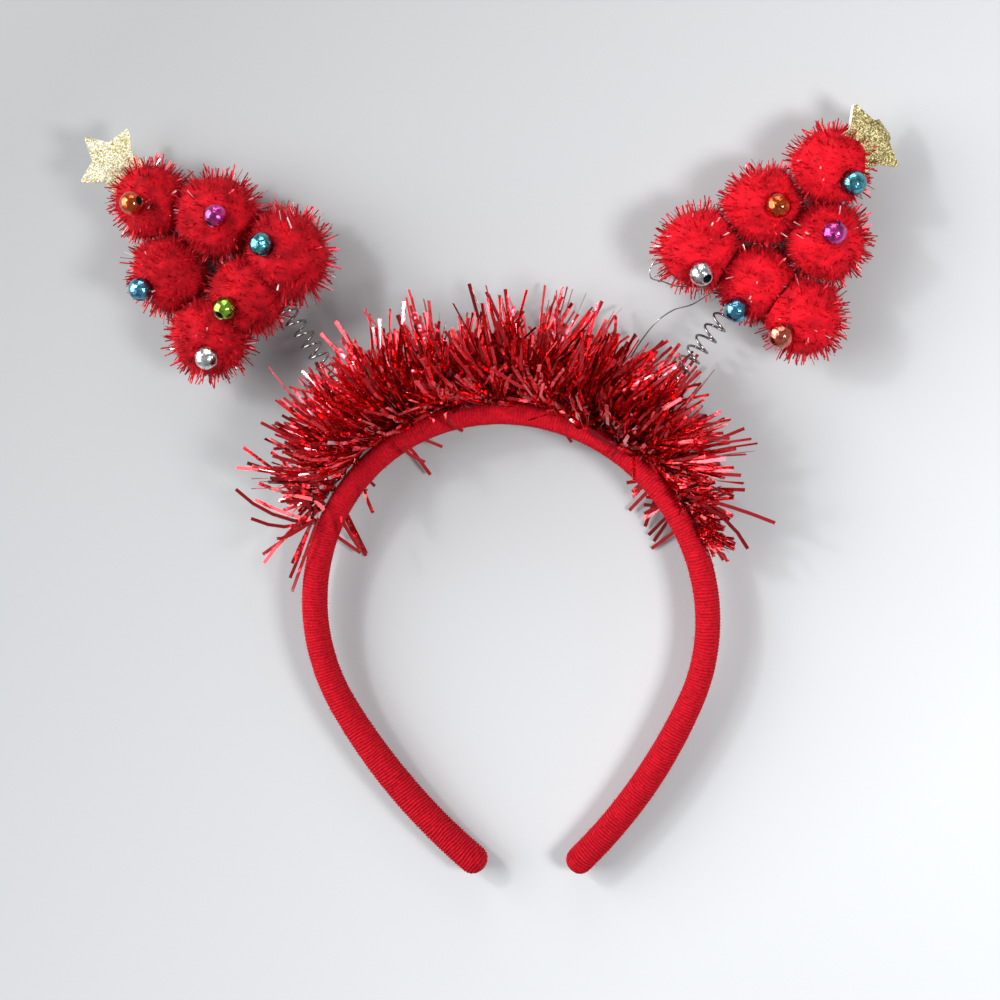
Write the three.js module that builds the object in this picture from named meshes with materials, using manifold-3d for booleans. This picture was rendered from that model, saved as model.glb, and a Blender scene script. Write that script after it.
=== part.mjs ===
import * as THREE from "three";
import { mergeVertices } from "three/addons/utils/BufferGeometryUtils.js";
import Module from "manifold-3d";

// A Christmas tree headband, lying on its back as it rests by itself: a yarn-wound band,
// a tinsel garland over its crown, and two small trees of pompoms on coil springs.
// Millimetres, +Z up. +Y runs from the band's tips to its crown, +X to the viewer's right.

// Headband: a crown arc that runs on into two flatter arms, lengths along the centreline
const CROWN_RADIUS = 68;
const CROWN_HALF_ANGLE = 117.2;
const ARM_RADIUS = 193;
const ARM_LENGTH = 69;
const BAND_THICKNESS = 8;
const TIP_THICKNESS = 9.4;
const BAND_DEPTH = 11.5;
const TIP_ROUNDING = 4.6;
const SWELL_FROM = 0.55; // share of the half length where the band starts to thicken
const SWELL_TO = 0.85;
const BAND_LEAN = 3; // how far the crown is lifted off the floor, in degrees
const BAND_STEP = 13.5;
const BAND_SIDES = 12;
const SQUARENESS = 2.5; // the power of the oval section, 2 for an ellipse
const TIP_RINGS = [0.85, 0.5]; // how far out the rings of a rounded tip stand, as shares

// Clearance between pieces that are glued, pressed or laid against each other
const GAP = 0.3;

// Tinsel garland: film strips caught in a thin core along the crown's outer face, so dense
// near the core that they form a solid roll there, with locks of loose ends beyond it
const GARLAND_FROM = -55; // degrees along the crown arc, minus is left
const GARLAND_TO = 72;
const CORE_RADIUS = 1.4;
const CORE_SET = 2.8; // how far the core lies in front of the band's middle
const ROLL_RADIUS = 7;
const ROLL_SIDES = 8;
const TINSEL_REACH = 35;
const LOCK_PITCH = 7;
const LOCK_WIDTH = 3.4;
const LOCK_THICKNESS = 1.1;
const LOCK_SLANT = 1.4; // how far one edge of a lock's end runs past the middle
const LOCK_STRAY = 11; // degrees that a lock leaves its row's way, at most
const REACH_STRAY = 0.12; // share of its reach that a lock is longer or shorter, at most
const STATION_STRAY = 0.3; // share of the pitch that a lock's root leaves its station
const LOCK_FLOOR = 2.4; // height over the floor at which a lock's end stops
const GARLAND_SEED = 11;
const END_SPLAY = 22; // degrees that the locks lean out at the garland's ends
const SPLAY_POWER = 5; // odd, and the higher, the closer to the ends the leaning starts
const SHORTER_FROM = 0.78; // share of the garland where the locks of its right end start
const SHORTEST_LOCK = 0.45; // share of their reach that the last of these keep

// Coil springs
const COIL_RADIUS = 3.1; // to the middle of the wire
const WIRE_RADIUS = 0.4;
const SPRING_LENGTH = 59;
const PITCH_AT_BAND = 3.5;
const PITCH_AT_TREE = 4.9;
const SPRING_SET = -2.6; // how far the coils stand behind the band's middle
const STEPS_PER_TURN = 6;
const WIRE_SIDES = 5;
const COIL_DIVISIONS = 1500; // of the helix, for even steps along it
const CHANNEL_SIDES = 6; // of the channel that each spring passes through

// Pompoms, beads and stars
const POMPOM_RADIUS = 14; // to the tips of the fringe
const POMPOM_CORE = 11.5; // to the surface of the fuzz
const TIP_SHRINK = 0.12; // share of the radius that a pompom's lock is shorter, at most
const TIP_STRAY = 0.12; // share of the radius that its tip leaves the facet's middle
const BEAD_RADIUS = 4;
const BEAD_BORE = 1.6; // radius of the drilled hole
const BEAD_STAND = 1.4; // how far a bead's centre stands off the fuzz
const BEAD_SIDES = 10;
const BEAD_ARCS = 4;
const STAR_POINTS = 5;
const STAR_RADIUS = 12.6;
const STAR_WAIST = 7.2; // radius of the inner corners
const STAR_TIP = 0.9; // radius of a rounded tip
const STAR_THICKNESS = 2;
const STAR_RISE = 0.5; // above the middle of the top pompom
const CURL_START = 5; // where a curled tip starts to bend, from the star's centre
const CURL_RADIUS = 2.6;
const CURL_SHARES = [0.42, 0.62, 0.8, 1]; // rings of a curled plate, as shares of its outline

// The circle round an icosahedron over the one inside it
const ICOSAHEDRON_GIRTH = 1.26;

const RED_YARN = 0xc0102a;
const RED_FILM = 0xa80d1c;
const RED_FUZZ = 0xd01022;
const STEEL = 0x8a8684;
const GOLD = 0xc9a84a;

// Rows of locks round the garland's core. azimuth: degrees from straight out towards the
// front. reach: share of TINSEL_REACH. every: one lock each so many stations.
const LOCK_ROWS = [
  { azimuth: -62, reach: 0.44, every: 2 },
  { azimuth: -22, reach: 0.92, every: 1 },
  { azimuth: 8, reach: 1.0, every: 1 },
  { azimuth: 40, reach: 0.92, every: 1 },
  { azimuth: 74, reach: 0.76, every: 1 },
];

// The trees, as seen from the front. foot: degrees along the crown arc where the spring
// stands. aim: the spring's way, lean: the tree's way, in degrees right of straight up.
// seat: the spring's end from the middle of pompom 5. pompoms: their middles from that of
// pompom 5, across and along the tree. All of these are shares of POMPOM_RADIUS.
// stretch: length over width, along the way given by towards. A bead stands towards that
// way, at slant degrees from upright, and its hole looks along bore and boreSlant.
const TREES = [
  {
    side: "left", foot: -34.3, aim: -31.1, lean: -44.4, seatAcross: 0.42, seatAlong: -0.52,
    pompoms: [
      { across: 0, along: 3.47, size: 1.06, stretch: 1, towards: 0 },
      { across: 0.94, along: 1.9, size: 1.12, stretch: 1, towards: 0 },
      { across: 1.41, along: -0.12, size: 1.12, stretch: 1.14, towards: 38 },
      { across: -1.05, along: 1.96, size: 1.05, stretch: 1, towards: 0 },
      { across: 0, along: 0, size: 1.06, stretch: 1, towards: 0 },
      { across: -1.5, along: 0.1, size: 1.1, stretch: 1, towards: 0 },
    ],
    beads: [
      { towards: -90, slant: 7, bore: 126, boreSlant: 72, color: 0xc8561c },
      { towards: 150, slant: 17, bore: -104, boreSlant: 62, color: 0xb3289a },
      { towards: -10, slant: 29, bore: -147, boreSlant: 80, color: 0x2b8ea4 },
      { towards: -84, slant: 34, bore: -137, boreSlant: 80, color: 0x2f9cc2 },
      { towards: -80, slant: 29, bore: -108, boreSlant: 44, color: 0x6fb02c },
      { towards: -163, slant: 29, bore: 18, boreSlant: 78, color: 0xc9c9c9 },
    ],
    star: { across: 0.05, along: 1.3, turn: 0, towards: 134, slant: 18, curl: 0 },
  },
  {
    side: "right", foot: 38.1, aim: 42.7, lean: 35.8, seatAcross: -0.16, seatAlong: -0.44,
    pompoms: [
      { across: 0, along: 3.2, size: 1.0, stretch: 1, towards: 0 },
      { across: -0.84, along: 1.61, size: 0.98, stretch: 1, towards: 0 },
      { across: -1.56, along: -0.01, size: 1.07, stretch: 1, towards: 0 },
      { across: 0.89, along: 1.7, size: 0.98, stretch: 1, towards: 0 },
      { across: 0, along: 0, size: 0.96, stretch: 1, towards: 0 },
      { across: 1.35, along: -0.06, size: 1.02, stretch: 1, towards: 0 },
    ],
    beads: [
      { towards: 97, slant: 51, bore: -91, boreSlant: 80, color: 0x2b8ea4 },
      { towards: 63, slant: 31, bore: -51, boreSlant: 82, color: 0xb85c1e },
      { towards: 126, slant: 38, bore: 95, boreSlant: 50, color: 0xc9c9c9 },
      { towards: 16, slant: 18, bore: -91, boreSlant: 80, color: 0xb3289a },
      { towards: 180, slant: 49, bore: -177, boreSlant: 78, color: 0x2b80b4 },
      { towards: -163, slant: 36, bore: 9, boreSlant: 84, color: 0xb0503a },
    ],
    star: { across: 0.41, along: 0.79, turn: 20, towards: 54, slant: 28, curl: 1 },
  },
];

const wasm = await Module();
wasm.setup();
const { degToRad } = THREE.MathUtils;
const UP = new THREE.Vector3(0, 0, 1);
const MERGE_DISTANCE = 1e-4;

// Repeatable scatter: the same seed gives the same run of numbers from -1 to 1.
function scatter(seed) {
  THREE.MathUtils.seededRandom(seed);
  return () => 2 * THREE.MathUtils.seededRandom() - 1;
}

function toSolid(geometry) {
  const bare = geometry.clone();
  bare.deleteAttribute("normal");
  bare.deleteAttribute("uv");
  const merged = mergeVertices(bare, MERGE_DISTANCE);
  return new wasm.Manifold(
    new wasm.Mesh({
      numProp: 3,
      vertProperties: merged.attributes.position.array,
      triVerts: new Uint32Array(merged.index.array),
    }),
  );
}

function toGeometry(solid) {
  const mesh = solid.getMesh();
  const geometry = new THREE.BufferGeometry();
  geometry.setAttribute("position", new THREE.BufferAttribute(mesh.vertProperties, 3));
  geometry.setIndex(new THREE.BufferAttribute(mesh.triVerts, 1));
  return geometry;
}

// What a cut leaves: the largest body, without the snippets that it frees.
function largestBody(solid) {
  const bodies = solid.decompose();
  return bodies.reduce((a, b) => (b.volume() > a.volume() ? b : a));
}

function pieceMesh(name, geometry, color, roughness, metalness) {
  const shaded = geometry.index ? geometry.toNonIndexed() : geometry;
  shaded.computeVertexNormals();
  const material = new THREE.MeshStandardMaterial({ color, roughness, metalness });
  const mesh = new THREE.Mesh(shaded, material);
  mesh.name = name;
  return mesh;
}

// A closed skin through rings with equally many points, drawn to a pole at each end.
function skin(rings, startPole, endPole) {
  const sides = rings[0].length;
  const points = [startPole, ...rings.flat(), endPole];
  const end = points.length - 1;
  const lastRing = 1 + (rings.length - 1) * sides;
  const index = [];
  for (let side = 0; side < sides; side++) {
    const next = (side + 1) % sides;
    index.push(0, 1 + next, 1 + side, end, lastRing + side, lastRing + next);
    for (let ring = 1; ring < rings.length; ring++) {
      const a = 1 + (ring - 1) * sides;
      const b = a + sides;
      index.push(a + side, b + next, b + side, a + side, a + next, b + next);
    }
  }
  return new THREE.BufferGeometry().setFromPoints(points).setIndex(index);
}

// The way at some degrees right of +Y, tilted by slant degrees from upright.
function way(towards, slant = 90) {
  const turn = degToRad(towards);
  const flat = Math.sin(degToRad(slant));
  return new THREE.Vector3(
    Math.sin(turn) * flat, Math.cos(turn) * flat, Math.cos(degToRad(slant)),
  );
}

// The band's centreline in its own plane: the point and its turn from the crown, at a
// length to the right of the crown's middle. The tips' ends lie at y = 0.
const crownHalfAngle = degToRad(CROWN_HALF_ANGLE);
const crownLength = CROWN_RADIUS * crownHalfAngle;
const halfLength = crownLength + ARM_LENGTH;
const tipAngle = crownHalfAngle + ARM_LENGTH / ARM_RADIUS;
const crownCentreY =
  ARM_RADIUS * (Math.cos(crownHalfAngle) - Math.cos(tipAngle)) -
  CROWN_RADIUS * Math.cos(crownHalfAngle);

function centreline(length) {
  const side = Math.sign(length) || 1;
  const run = Math.abs(length);
  const onCrown = Math.min(run / CROWN_RADIUS, crownHalfAngle);
  const turn = onCrown + Math.max(run - crownLength, 0) / ARM_RADIUS;
  const x =
    CROWN_RADIUS * Math.sin(onCrown) + ARM_RADIUS * (Math.sin(turn) - Math.sin(onCrown));
  const y =
    crownCentreY + CROWN_RADIUS * Math.cos(onCrown) +
    ARM_RADIUS * (Math.cos(turn) - Math.cos(onCrown));
  return { point: new THREE.Vector3(side * x, y, 0), turn: side * turn };
}

// A point of the crown arc's plane at an angle from the crown, out from the arc's centre.
function onCrown(degrees, radius, set) {
  const turn = degToRad(degrees);
  return new THREE.Vector3(
    radius * Math.sin(turn), crownCentreY + radius * Math.cos(turn), set,
  );
}

// An oval ring round the centreline, with flat sides square to its two axes.
function bandRing(length, share, grow, beyond = 0) {
  const { point, turn } = centreline(length);
  const out = new THREE.Vector3(Math.sin(turn), Math.cos(turn), 0);
  const along = new THREE.Vector3(Math.cos(turn), -Math.sin(turn), 0);
  const swell = THREE.MathUtils.smoothstep(Math.abs(length) / halfLength, SWELL_FROM, SWELL_TO);
  const thickness = THREE.MathUtils.lerp(BAND_THICKNESS, TIP_THICKNESS, swell);
  const power = (value) => Math.sign(value) * Math.abs(value) ** (2 / SQUARENESS);
  const flat = power(Math.cos(Math.PI / BAND_SIDES));
  const ring = [];
  for (let side = 0; side < BAND_SIDES; side++) {
    const turnRound = ((side + 0.5) * 2 * Math.PI) / BAND_SIDES;
    const outward = ((thickness / 2) * share + grow) * power(Math.cos(turnRound));
    const forward = ((BAND_DEPTH / 2) * share + grow) * power(Math.sin(turnRound));
    ring.push(
      point.clone().addScaledVector(along, beyond)
        .addScaledVector(out, outward / flat).addScaledVector(UP, forward / flat),
    );
  }
  return ring;
}

function bandGeometry(grow = 0) {
  const rounding = TIP_ROUNDING + grow;
  const cap = TIP_RINGS.map((reach) => ({
    share: Math.sqrt(1 - reach * reach), beyond: reach * rounding,
  }));
  const steps = 2 * Math.floor(halfLength / BAND_STEP) + 1;
  const rings = cap.map((c) => bandRing(-halfLength, c.share, grow * c.share, -c.beyond));
  for (let step = 0; step <= steps; step++) {
    rings.push(bandRing(halfLength * ((2 * step) / steps - 1), 1, grow));
  }
  cap.reverse().forEach((c) => {
    rings.push(bandRing(halfLength, c.share, grow * c.share, c.beyond));
  });
  const pole = (side) => {
    const { point, turn } = centreline(side * halfLength);
    return point.add(
      new THREE.Vector3(Math.cos(turn), -Math.sin(turn), 0).multiplyScalar(side * rounding),
    );
  };
  return skin(rings, pole(-1), pole(1));
}

// The band's plane leans back on the tips: this lays it so that the tips touch the floor.
const lean = new THREE.Matrix4().makeRotationX(degToRad(BAND_LEAN));
const leaning = bandGeometry().applyMatrix4(lean);
leaning.computeBoundingBox();
const bandToFloor = new THREE.Matrix4()
  .makeTranslation(0, 0, -leaning.boundingBox.min.z)
  .multiply(lean);
const floorToBand = bandToFloor.clone().invert();

// A tree's frame on the floor: its origin lies under the middle of pompom 5, +Y along the
// tree. The spring ends in pompom 5, at the height of its middle.
function treeFrame(tree) {
  const seat = CROWN_RADIUS + BAND_THICKNESS / 2 + GAP + WIRE_RADIUS;
  const foot = onCrown(tree.foot, seat, SPRING_SET);
  const height = POMPOM_RADIUS * tree.pompoms[4].size;
  const end = foot.clone().addScaledVector(way(tree.aim), SPRING_LENGTH);
  end.applyMatrix4(bandToFloor).setZ(height);
  const turn = new THREE.Matrix4().makeRotationZ(-degToRad(tree.lean));
  const seatOffset = new THREE.Vector3(tree.seatAcross, tree.seatAlong, 0)
    .multiplyScalar(POMPOM_RADIUS).applyMatrix4(turn);
  const origin = end.clone().sub(seatOffset).setZ(0);
  return {
    foot, end: end.clone().applyMatrix4(floorToBand),
    matrix: new THREE.Matrix4().setPosition(origin).multiply(turn),
  };
}

// A round channel that clears a spring's coils, from its foot to its end.
function springChannel(foot, end) {
  const radius = (COIL_RADIUS + WIRE_RADIUS + GAP) / Math.cos(Math.PI / CHANNEL_SIDES);
  const run = end.clone().sub(foot);
  const ahead = run.clone().normalize();
  const length = run.length() + 2 * (WIRE_RADIUS + GAP);
  const geometry = new THREE.CylinderGeometry(radius, radius, length, CHANNEL_SIDES);
  const turn = new THREE.Quaternion().setFromUnitVectors(new THREE.Vector3(0, 1, 0), ahead);
  const middle = foot.clone().add(end).divideScalar(2);
  return geometry.applyQuaternion(turn).translate(middle.x, middle.y, middle.z);
}

// A helix whose pitch opens evenly from the band to the tree. Turns add up as the integral
// of 1 / pitch along the axis.
class Coil extends THREE.Curve {
  constructor(foot, end) {
    super();
    this.foot = foot;
    this.axis = end.clone().sub(foot);
    this.length = this.axis.length();
    this.ahead = this.axis.clone().normalize();
    this.across = new THREE.Vector3().crossVectors(this.ahead, UP).normalize();
    this.opening = (PITCH_AT_TREE - PITCH_AT_BAND) / this.length;
    this.arcLengthDivisions = COIL_DIVISIONS;
  }
  turnsAt(length) {
    return Math.log(1 + (this.opening * length) / PITCH_AT_BAND) / this.opening;
  }
  getPoint(share) {
    const length = share * this.length;
    const turn = 2 * Math.PI * this.turnsAt(length) + Math.PI / 2;
    const up = new THREE.Vector3().crossVectors(this.across, this.ahead);
    return this.foot.clone().addScaledVector(this.ahead, length)
      .addScaledVector(this.across, COIL_RADIUS * Math.cos(turn))
      .addScaledVector(up, COIL_RADIUS * Math.sin(turn));
  }
}

function roundSection(radius, sides) {
  const corners = Array.from({ length: sides }, (_, side) => {
    const turn = (2 * Math.PI * side) / sides;
    return new THREE.Vector2(radius * Math.cos(turn), radius * Math.sin(turn));
  });
  return new THREE.Shape(corners);
}

function springGeometry(foot, end) {
  const coil = new Coil(foot, end);
  const steps = Math.round(coil.turnsAt(coil.length) * STEPS_PER_TURN);
  return new THREE.ExtrudeGeometry(roundSection(WIRE_RADIUS, WIRE_SIDES), {
    steps, extrudePath: coil, bevelEnabled: false,
  });
}

// A line round the crown, such as the garland's core or the middle of its dense roll, which
// lies just clear of the band when its own radius is given.
class CrownLine extends THREE.Curve {
  constructor(ownRadius) {
    super();
    this.circle = CROWN_RADIUS + BAND_THICKNESS / 2 + GAP + ownRadius;
  }
  getPoint(share) {
    const angle = THREE.MathUtils.lerp(GARLAND_FROM, GARLAND_TO, share);
    return onCrown(angle, this.circle, CORE_SET);
  }
}

// A lock of film strips: a narrow root in the core that widens to a ridged, slanted end.
function lockGeometry(root, tip, flatWay) {
  const ahead = tip.clone().sub(root).normalize();
  const across = new THREE.Vector3().crossVectors(ahead, flatWay).normalize();
  const thin = new THREE.Vector3().crossVectors(ahead, across);
  const ring = (centre, width, thickness, slant) =>
    [[-1, -1], [1, -1], [0, 1]].map(([u, v]) =>
      centre.clone().addScaledVector(across, (u * width) / 2)
        .addScaledVector(thin, (v * thickness) / 2).addScaledVector(ahead, u * slant),
    );
  const rings = [
    ring(root, CORE_RADIUS, CORE_RADIUS, 0),
    ring(tip, LOCK_WIDTH, LOCK_THICKNESS, LOCK_SLANT),
  ];
  return skin(rings, root.clone().addScaledVector(ahead, -CORE_RADIUS / 4), tip);
}

// The share of a lock's length that keeps its end clear of the floor.
function shareAboveFloor(root, tip) {
  const low = tip.clone().applyMatrix4(bandToFloor).z;
  const high = root.clone().applyMatrix4(bandToFloor).z;
  return low < LOCK_FLOOR ? (high - LOCK_FLOOR) / (high - low) : 1;
}

function garlandGeometry(frames) {
  const jitter = scatter(GARLAND_SEED);
  const coreLine = new CrownLine(CORE_RADIUS);
  const coreSteps = Math.round(coreLine.getLength() / LOCK_PITCH);
  let garland = toSolid(
    new THREE.ExtrudeGeometry(roundSection(ROLL_RADIUS, ROLL_SIDES), {
      steps: Math.round(coreSteps / 2), extrudePath: new CrownLine(ROLL_RADIUS),
      bevelEnabled: false,
    }),
  );
  for (let station = 0; station <= coreSteps; station++) {
    LOCK_ROWS.filter((row, i) => (station + i) % row.every === 0).forEach((row) => {
      const share = THREE.MathUtils.clamp((station + STATION_STRAY * jitter()) / coreSteps, 0, 1);
      const root = coreLine.getPoint(share);
      const turn = degToRad(THREE.MathUtils.lerp(GARLAND_FROM, GARLAND_TO, share));
      const azimuth = degToRad(row.azimuth + LOCK_STRAY * jitter());
      const fan = 2 * share - 1; // locks splay out of the garland's two ends
      const slew = degToRad(END_SPLAY * fan ** SPLAY_POWER + LOCK_STRAY * jitter());
      const out = new THREE.Vector3(Math.sin(turn), Math.cos(turn), 0);
      const along = new THREE.Vector3(Math.cos(turn), -Math.sin(turn), 0);
      const ahead = out.clone().multiplyScalar(Math.cos(azimuth))
        .addScaledVector(UP, Math.sin(azimuth)).multiplyScalar(Math.cos(slew))
        .addScaledVector(along, Math.sin(slew));
      const shorter = THREE.MathUtils.smoothstep(share, SHORTER_FROM, 1);
      const reach = TINSEL_REACH * row.reach * (1 + REACH_STRAY * jitter()) *
        THREE.MathUtils.lerp(1, SHORTEST_LOCK, shorter);
      const tip = root.clone().addScaledVector(ahead, reach);
      tip.lerp(root, 1 - shareAboveFloor(root, tip));
      const flatWay = along.clone().addScaledVector(UP, jitter()).addScaledVector(out, jitter());
      garland = garland.add(toSolid(lockGeometry(root, tip, flatWay)));
    });
  }
  garland = garland.subtract(toSolid(bandGeometry(GAP)));
  frames.forEach(({ foot, end }) => {
    garland = garland.subtract(toSolid(springChannel(foot, end)));
  });
  return toGeometry(largestBody(garland));
}

// A ball of fuzz whose every facet is drawn out to a lock. One lock points straight down,
// at full length, so the pompom rests on it.
function pompomGeometry({ size, stretch, towards }, seed) {
  const jitter = scatter(seed);
  const ball = new THREE.IcosahedronGeometry(1, 1);
  const corners = ball.attributes.position;
  const corner = (i) => new THREE.Vector3().fromBufferAttribute(corners, i);
  const facetWay = (i) => corner(i).add(corner(i + 1)).add(corner(i + 2)).normalize();
  const turn = new THREE.Quaternion().setFromUnitVectors(facetWay(0), UP.clone().negate());
  const core = POMPOM_CORE * size;
  const points = [];
  for (let i = 0; i < corners.count; i += 3) {
    const loose = i > 0 ? 1 : 0;
    const reach = POMPOM_RADIUS * size * (1 - (TIP_SHRINK / 2) * loose * (1 + jitter()));
    const stray = new THREE.Vector3(jitter(), jitter(), jitter());
    stray.multiplyScalar(TIP_STRAY * loose);
    const tip = facetWay(i).add(stray).setLength(reach);
    const [a, b, c] = [0, 1, 2].map((k) => corner(i + k).multiplyScalar(core));
    points.push(a, b, tip, b, c, tip, c, a, tip);
  }
  const spin = new THREE.Quaternion().setFromAxisAngle(UP, seed);
  const long = new THREE.Matrix4().makeRotationZ(-degToRad(towards));
  return new THREE.BufferGeometry().setFromPoints(points)
    .applyQuaternion(turn).applyQuaternion(spin)
    .applyMatrix4(long.clone().invert())
    .scale(1, stretch, 1)
    .applyMatrix4(long);
}

// A ball with a hole drilled through it along +Y.
function beadGeometry() {
  const rim = Math.acos(BEAD_BORE / BEAD_RADIUS);
  const profile = [];
  for (let i = 0; i <= BEAD_ARCS; i++) {
    const turn = rim * ((2 * i) / BEAD_ARCS - 1);
    profile.push(new THREE.Vector2(BEAD_RADIUS * Math.cos(turn), BEAD_RADIUS * Math.sin(turn)));
  }
  profile.push(profile[0].clone());
  return new THREE.LatheGeometry(profile, BEAD_SIDES);
}

// A five-pointed plate with rounded tips round the origin, facing +Z. grow widens it all
// round for a slot. A curled tip is the first one, bent back round a cylinder behind it.
function starGeometry(curl, grow = 0) {
  const outline = [];
  const step = Math.PI / STAR_POINTS;
  for (let point = 0; point < STAR_POINTS; point++) {
    const turn = 2 * step * point;
    const tipCentre = STAR_RADIUS - STAR_TIP;
    const across = (STAR_TIP + grow) / tipCentre;
    outline.push({ turn: turn - across, radius: tipCentre + grow });
    outline.push({ turn, radius: STAR_RADIUS + grow });
    outline.push({ turn: turn + across, radius: tipCentre + grow });
    outline.push({ turn: turn + step, radius: STAR_WAIST + grow });
  }
  const shares = curl ? CURL_SHARES : [1];
  const half = STAR_THICKNESS / 2 + grow;
  const bend = (x, y, z) => {
    const angle = Math.max(y - CURL_START, 0) / CURL_RADIUS;
    if (!curl || angle === 0) return new THREE.Vector3(x, y, z);
    const arm = CURL_RADIUS + z;
    return new THREE.Vector3(
      x, CURL_START + arm * Math.sin(angle), arm * Math.cos(angle) - CURL_RADIUS,
    );
  };
  const ring = (share, z) =>
    outline.map(({ turn, radius }) =>
      bend(share * radius * Math.sin(turn), share * radius * Math.cos(turn), z),
    );
  const rings = [
    ...shares.map((share) => ring(share, half)),
    ...shares.toReversed().map((share) => ring(share, -half)),
  ];
  return skin(rings, new THREE.Vector3(0, 0, half), new THREE.Vector3(0, 0, -half));
}

function standing(geometry, from, ahead, place) {
  const turn = new THREE.Quaternion().setFromUnitVectors(from, ahead);
  return geometry.applyQuaternion(turn).translate(place.x, place.y, place.z);
}

function placedStar(tree, top, curl, grow) {
  const { across, along, turn, towards, slant } = tree.star;
  const place = top.clone().add(
    new THREE.Vector3(across * POMPOM_RADIUS, along * POMPOM_RADIUS, STAR_RISE),
  );
  const plate = starGeometry(curl, grow).rotateZ(-degToRad(turn));
  return standing(plate, UP, way(towards, slant), place);
}

// A block that takes away what reaches past the middle between two touching pompoms.
function neighbourBlock(from, to, fromSize, toSize) {
  const run = to.clone().sub(from);
  const side = 4 * POMPOM_RADIUS; // past any pompom
  const cut = run.length() * (fromSize / (fromSize + toSize)) - GAP / 2;
  const ahead = run.clone().normalize();
  const place = from.clone().addScaledVector(ahead, cut + side / 2);
  return standing(new THREE.BoxGeometry(side, side, side), UP, ahead, place);
}

// One tree in its own frame: pompoms trimmed to each other and dented for their beads, with
// a slot for the star and a socket for the spring.
function treePieces(tree, treeIndex, frame) {
  const group = new THREE.Group();
  const middles = tree.pompoms.map(
    ({ across, along, size }) =>
      new THREE.Vector3(across, along, size).multiplyScalar(POMPOM_RADIUS),
  );
  const beadPlaces = tree.beads.map(({ towards, slant }, i) =>
    middles[i].clone().addScaledVector(
      way(towards, slant), POMPOM_CORE * tree.pompoms[i].size + BEAD_STAND,
    ),
  );
  const toTree = frame.matrix.clone().invert().multiply(bandToFloor);
  const socket = toSolid(
    springChannel(frame.foot.clone().applyMatrix4(toTree), frame.end.clone().applyMatrix4(toTree)),
  );
  const slot = toSolid(placedStar(tree, middles[0], 0, GAP)); // no curl reaches into it
  const dentRadius = (BEAD_RADIUS + GAP) * ICOSAHEDRON_GIRTH;
  const dents = beadPlaces.map(({ x, y, z }) =>
    toSolid(new THREE.IcosahedronGeometry(dentRadius).translate(x, y, z)),
  );
  tree.pompoms.forEach((row, i) => {
    const { x, y, z } = middles[i];
    let ball = toSolid(pompomGeometry(row, 1 + i + 10 * treeIndex).translate(x, y, z));
    middles.forEach((other, j) => {
      if (j === i) return;
      const { size } = tree.pompoms[j];
      ball = ball.subtract(toSolid(neighbourBlock(middles[i], other, row.size, size)));
    });
    [socket, slot, ...dents].forEach((hollow) => {
      ball = ball.subtract(hollow);
    });
    const name = `${tree.side}_pompom_${i + 1}`;
    group.add(pieceMesh(name, toGeometry(largestBody(ball)), RED_FUZZ, 0.95, 0));
  });
  tree.beads.forEach(({ bore, boreSlant, color }, i) => {
    const hole = way(bore, boreSlant);
    const bead = standing(beadGeometry(), new THREE.Vector3(0, 1, 0), hole, beadPlaces[i]);
    group.add(pieceMesh(`${tree.side}_bead_${i + 1}`, bead, color, 0.2, 1));
  });
  const star = placedStar(tree, middles[0], tree.star.curl, 0);
  group.add(pieceMesh(`${tree.side}_star`, star, GOLD, 0.45, 0.6));
  group.applyMatrix4(frame.matrix);
  return group;
}

const frames = TREES.map(treeFrame);
const band = new THREE.Group();
band.add(pieceMesh("headband", bandGeometry(), RED_YARN, 0.9, 0));
band.add(pieceMesh("tinsel_garland", garlandGeometry(frames), RED_FILM, 0.25, 0.9));
TREES.forEach(({ side }, i) => {
  const wire = springGeometry(frames[i].foot, frames[i].end);
  band.add(pieceMesh(`${side}_spring`, wire, STEEL, 0.3, 1));
});
band.applyMatrix4(bandToFloor);

const headband = new THREE.Group();
headband.add(band, ...TREES.map((tree, i) => treePieces(tree, i, frames[i])));

// The origin is under the middle of the whole, on the floor.
headband.updateMatrixWorld(true);
const box = new THREE.Box3().setFromObject(headband, true);
const middle = box.getCenter(new THREE.Vector3());
headband.position.set(-middle.x, -middle.y, -box.min.z);

export default headband;
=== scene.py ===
import math

import bpy
import numpy as np
from mathutils import Matrix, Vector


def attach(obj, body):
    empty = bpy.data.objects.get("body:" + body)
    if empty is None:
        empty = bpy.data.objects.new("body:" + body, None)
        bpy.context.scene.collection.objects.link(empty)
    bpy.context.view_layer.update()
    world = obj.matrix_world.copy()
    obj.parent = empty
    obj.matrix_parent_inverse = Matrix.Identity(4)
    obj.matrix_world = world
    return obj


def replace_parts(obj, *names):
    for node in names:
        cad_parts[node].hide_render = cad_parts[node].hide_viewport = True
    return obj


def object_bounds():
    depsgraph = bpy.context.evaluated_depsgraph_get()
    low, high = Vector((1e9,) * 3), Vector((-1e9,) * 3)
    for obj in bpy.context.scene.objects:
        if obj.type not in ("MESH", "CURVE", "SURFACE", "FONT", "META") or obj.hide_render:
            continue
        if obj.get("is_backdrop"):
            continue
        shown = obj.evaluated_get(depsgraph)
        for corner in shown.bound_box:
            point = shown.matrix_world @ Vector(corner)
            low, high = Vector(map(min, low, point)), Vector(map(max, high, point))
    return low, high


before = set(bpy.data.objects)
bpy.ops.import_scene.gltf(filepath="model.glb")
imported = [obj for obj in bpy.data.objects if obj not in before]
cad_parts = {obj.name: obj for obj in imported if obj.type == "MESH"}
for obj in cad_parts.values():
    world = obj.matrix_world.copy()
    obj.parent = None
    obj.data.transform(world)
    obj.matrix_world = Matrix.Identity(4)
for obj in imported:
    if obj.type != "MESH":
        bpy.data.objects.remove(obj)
cad_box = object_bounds()


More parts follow.
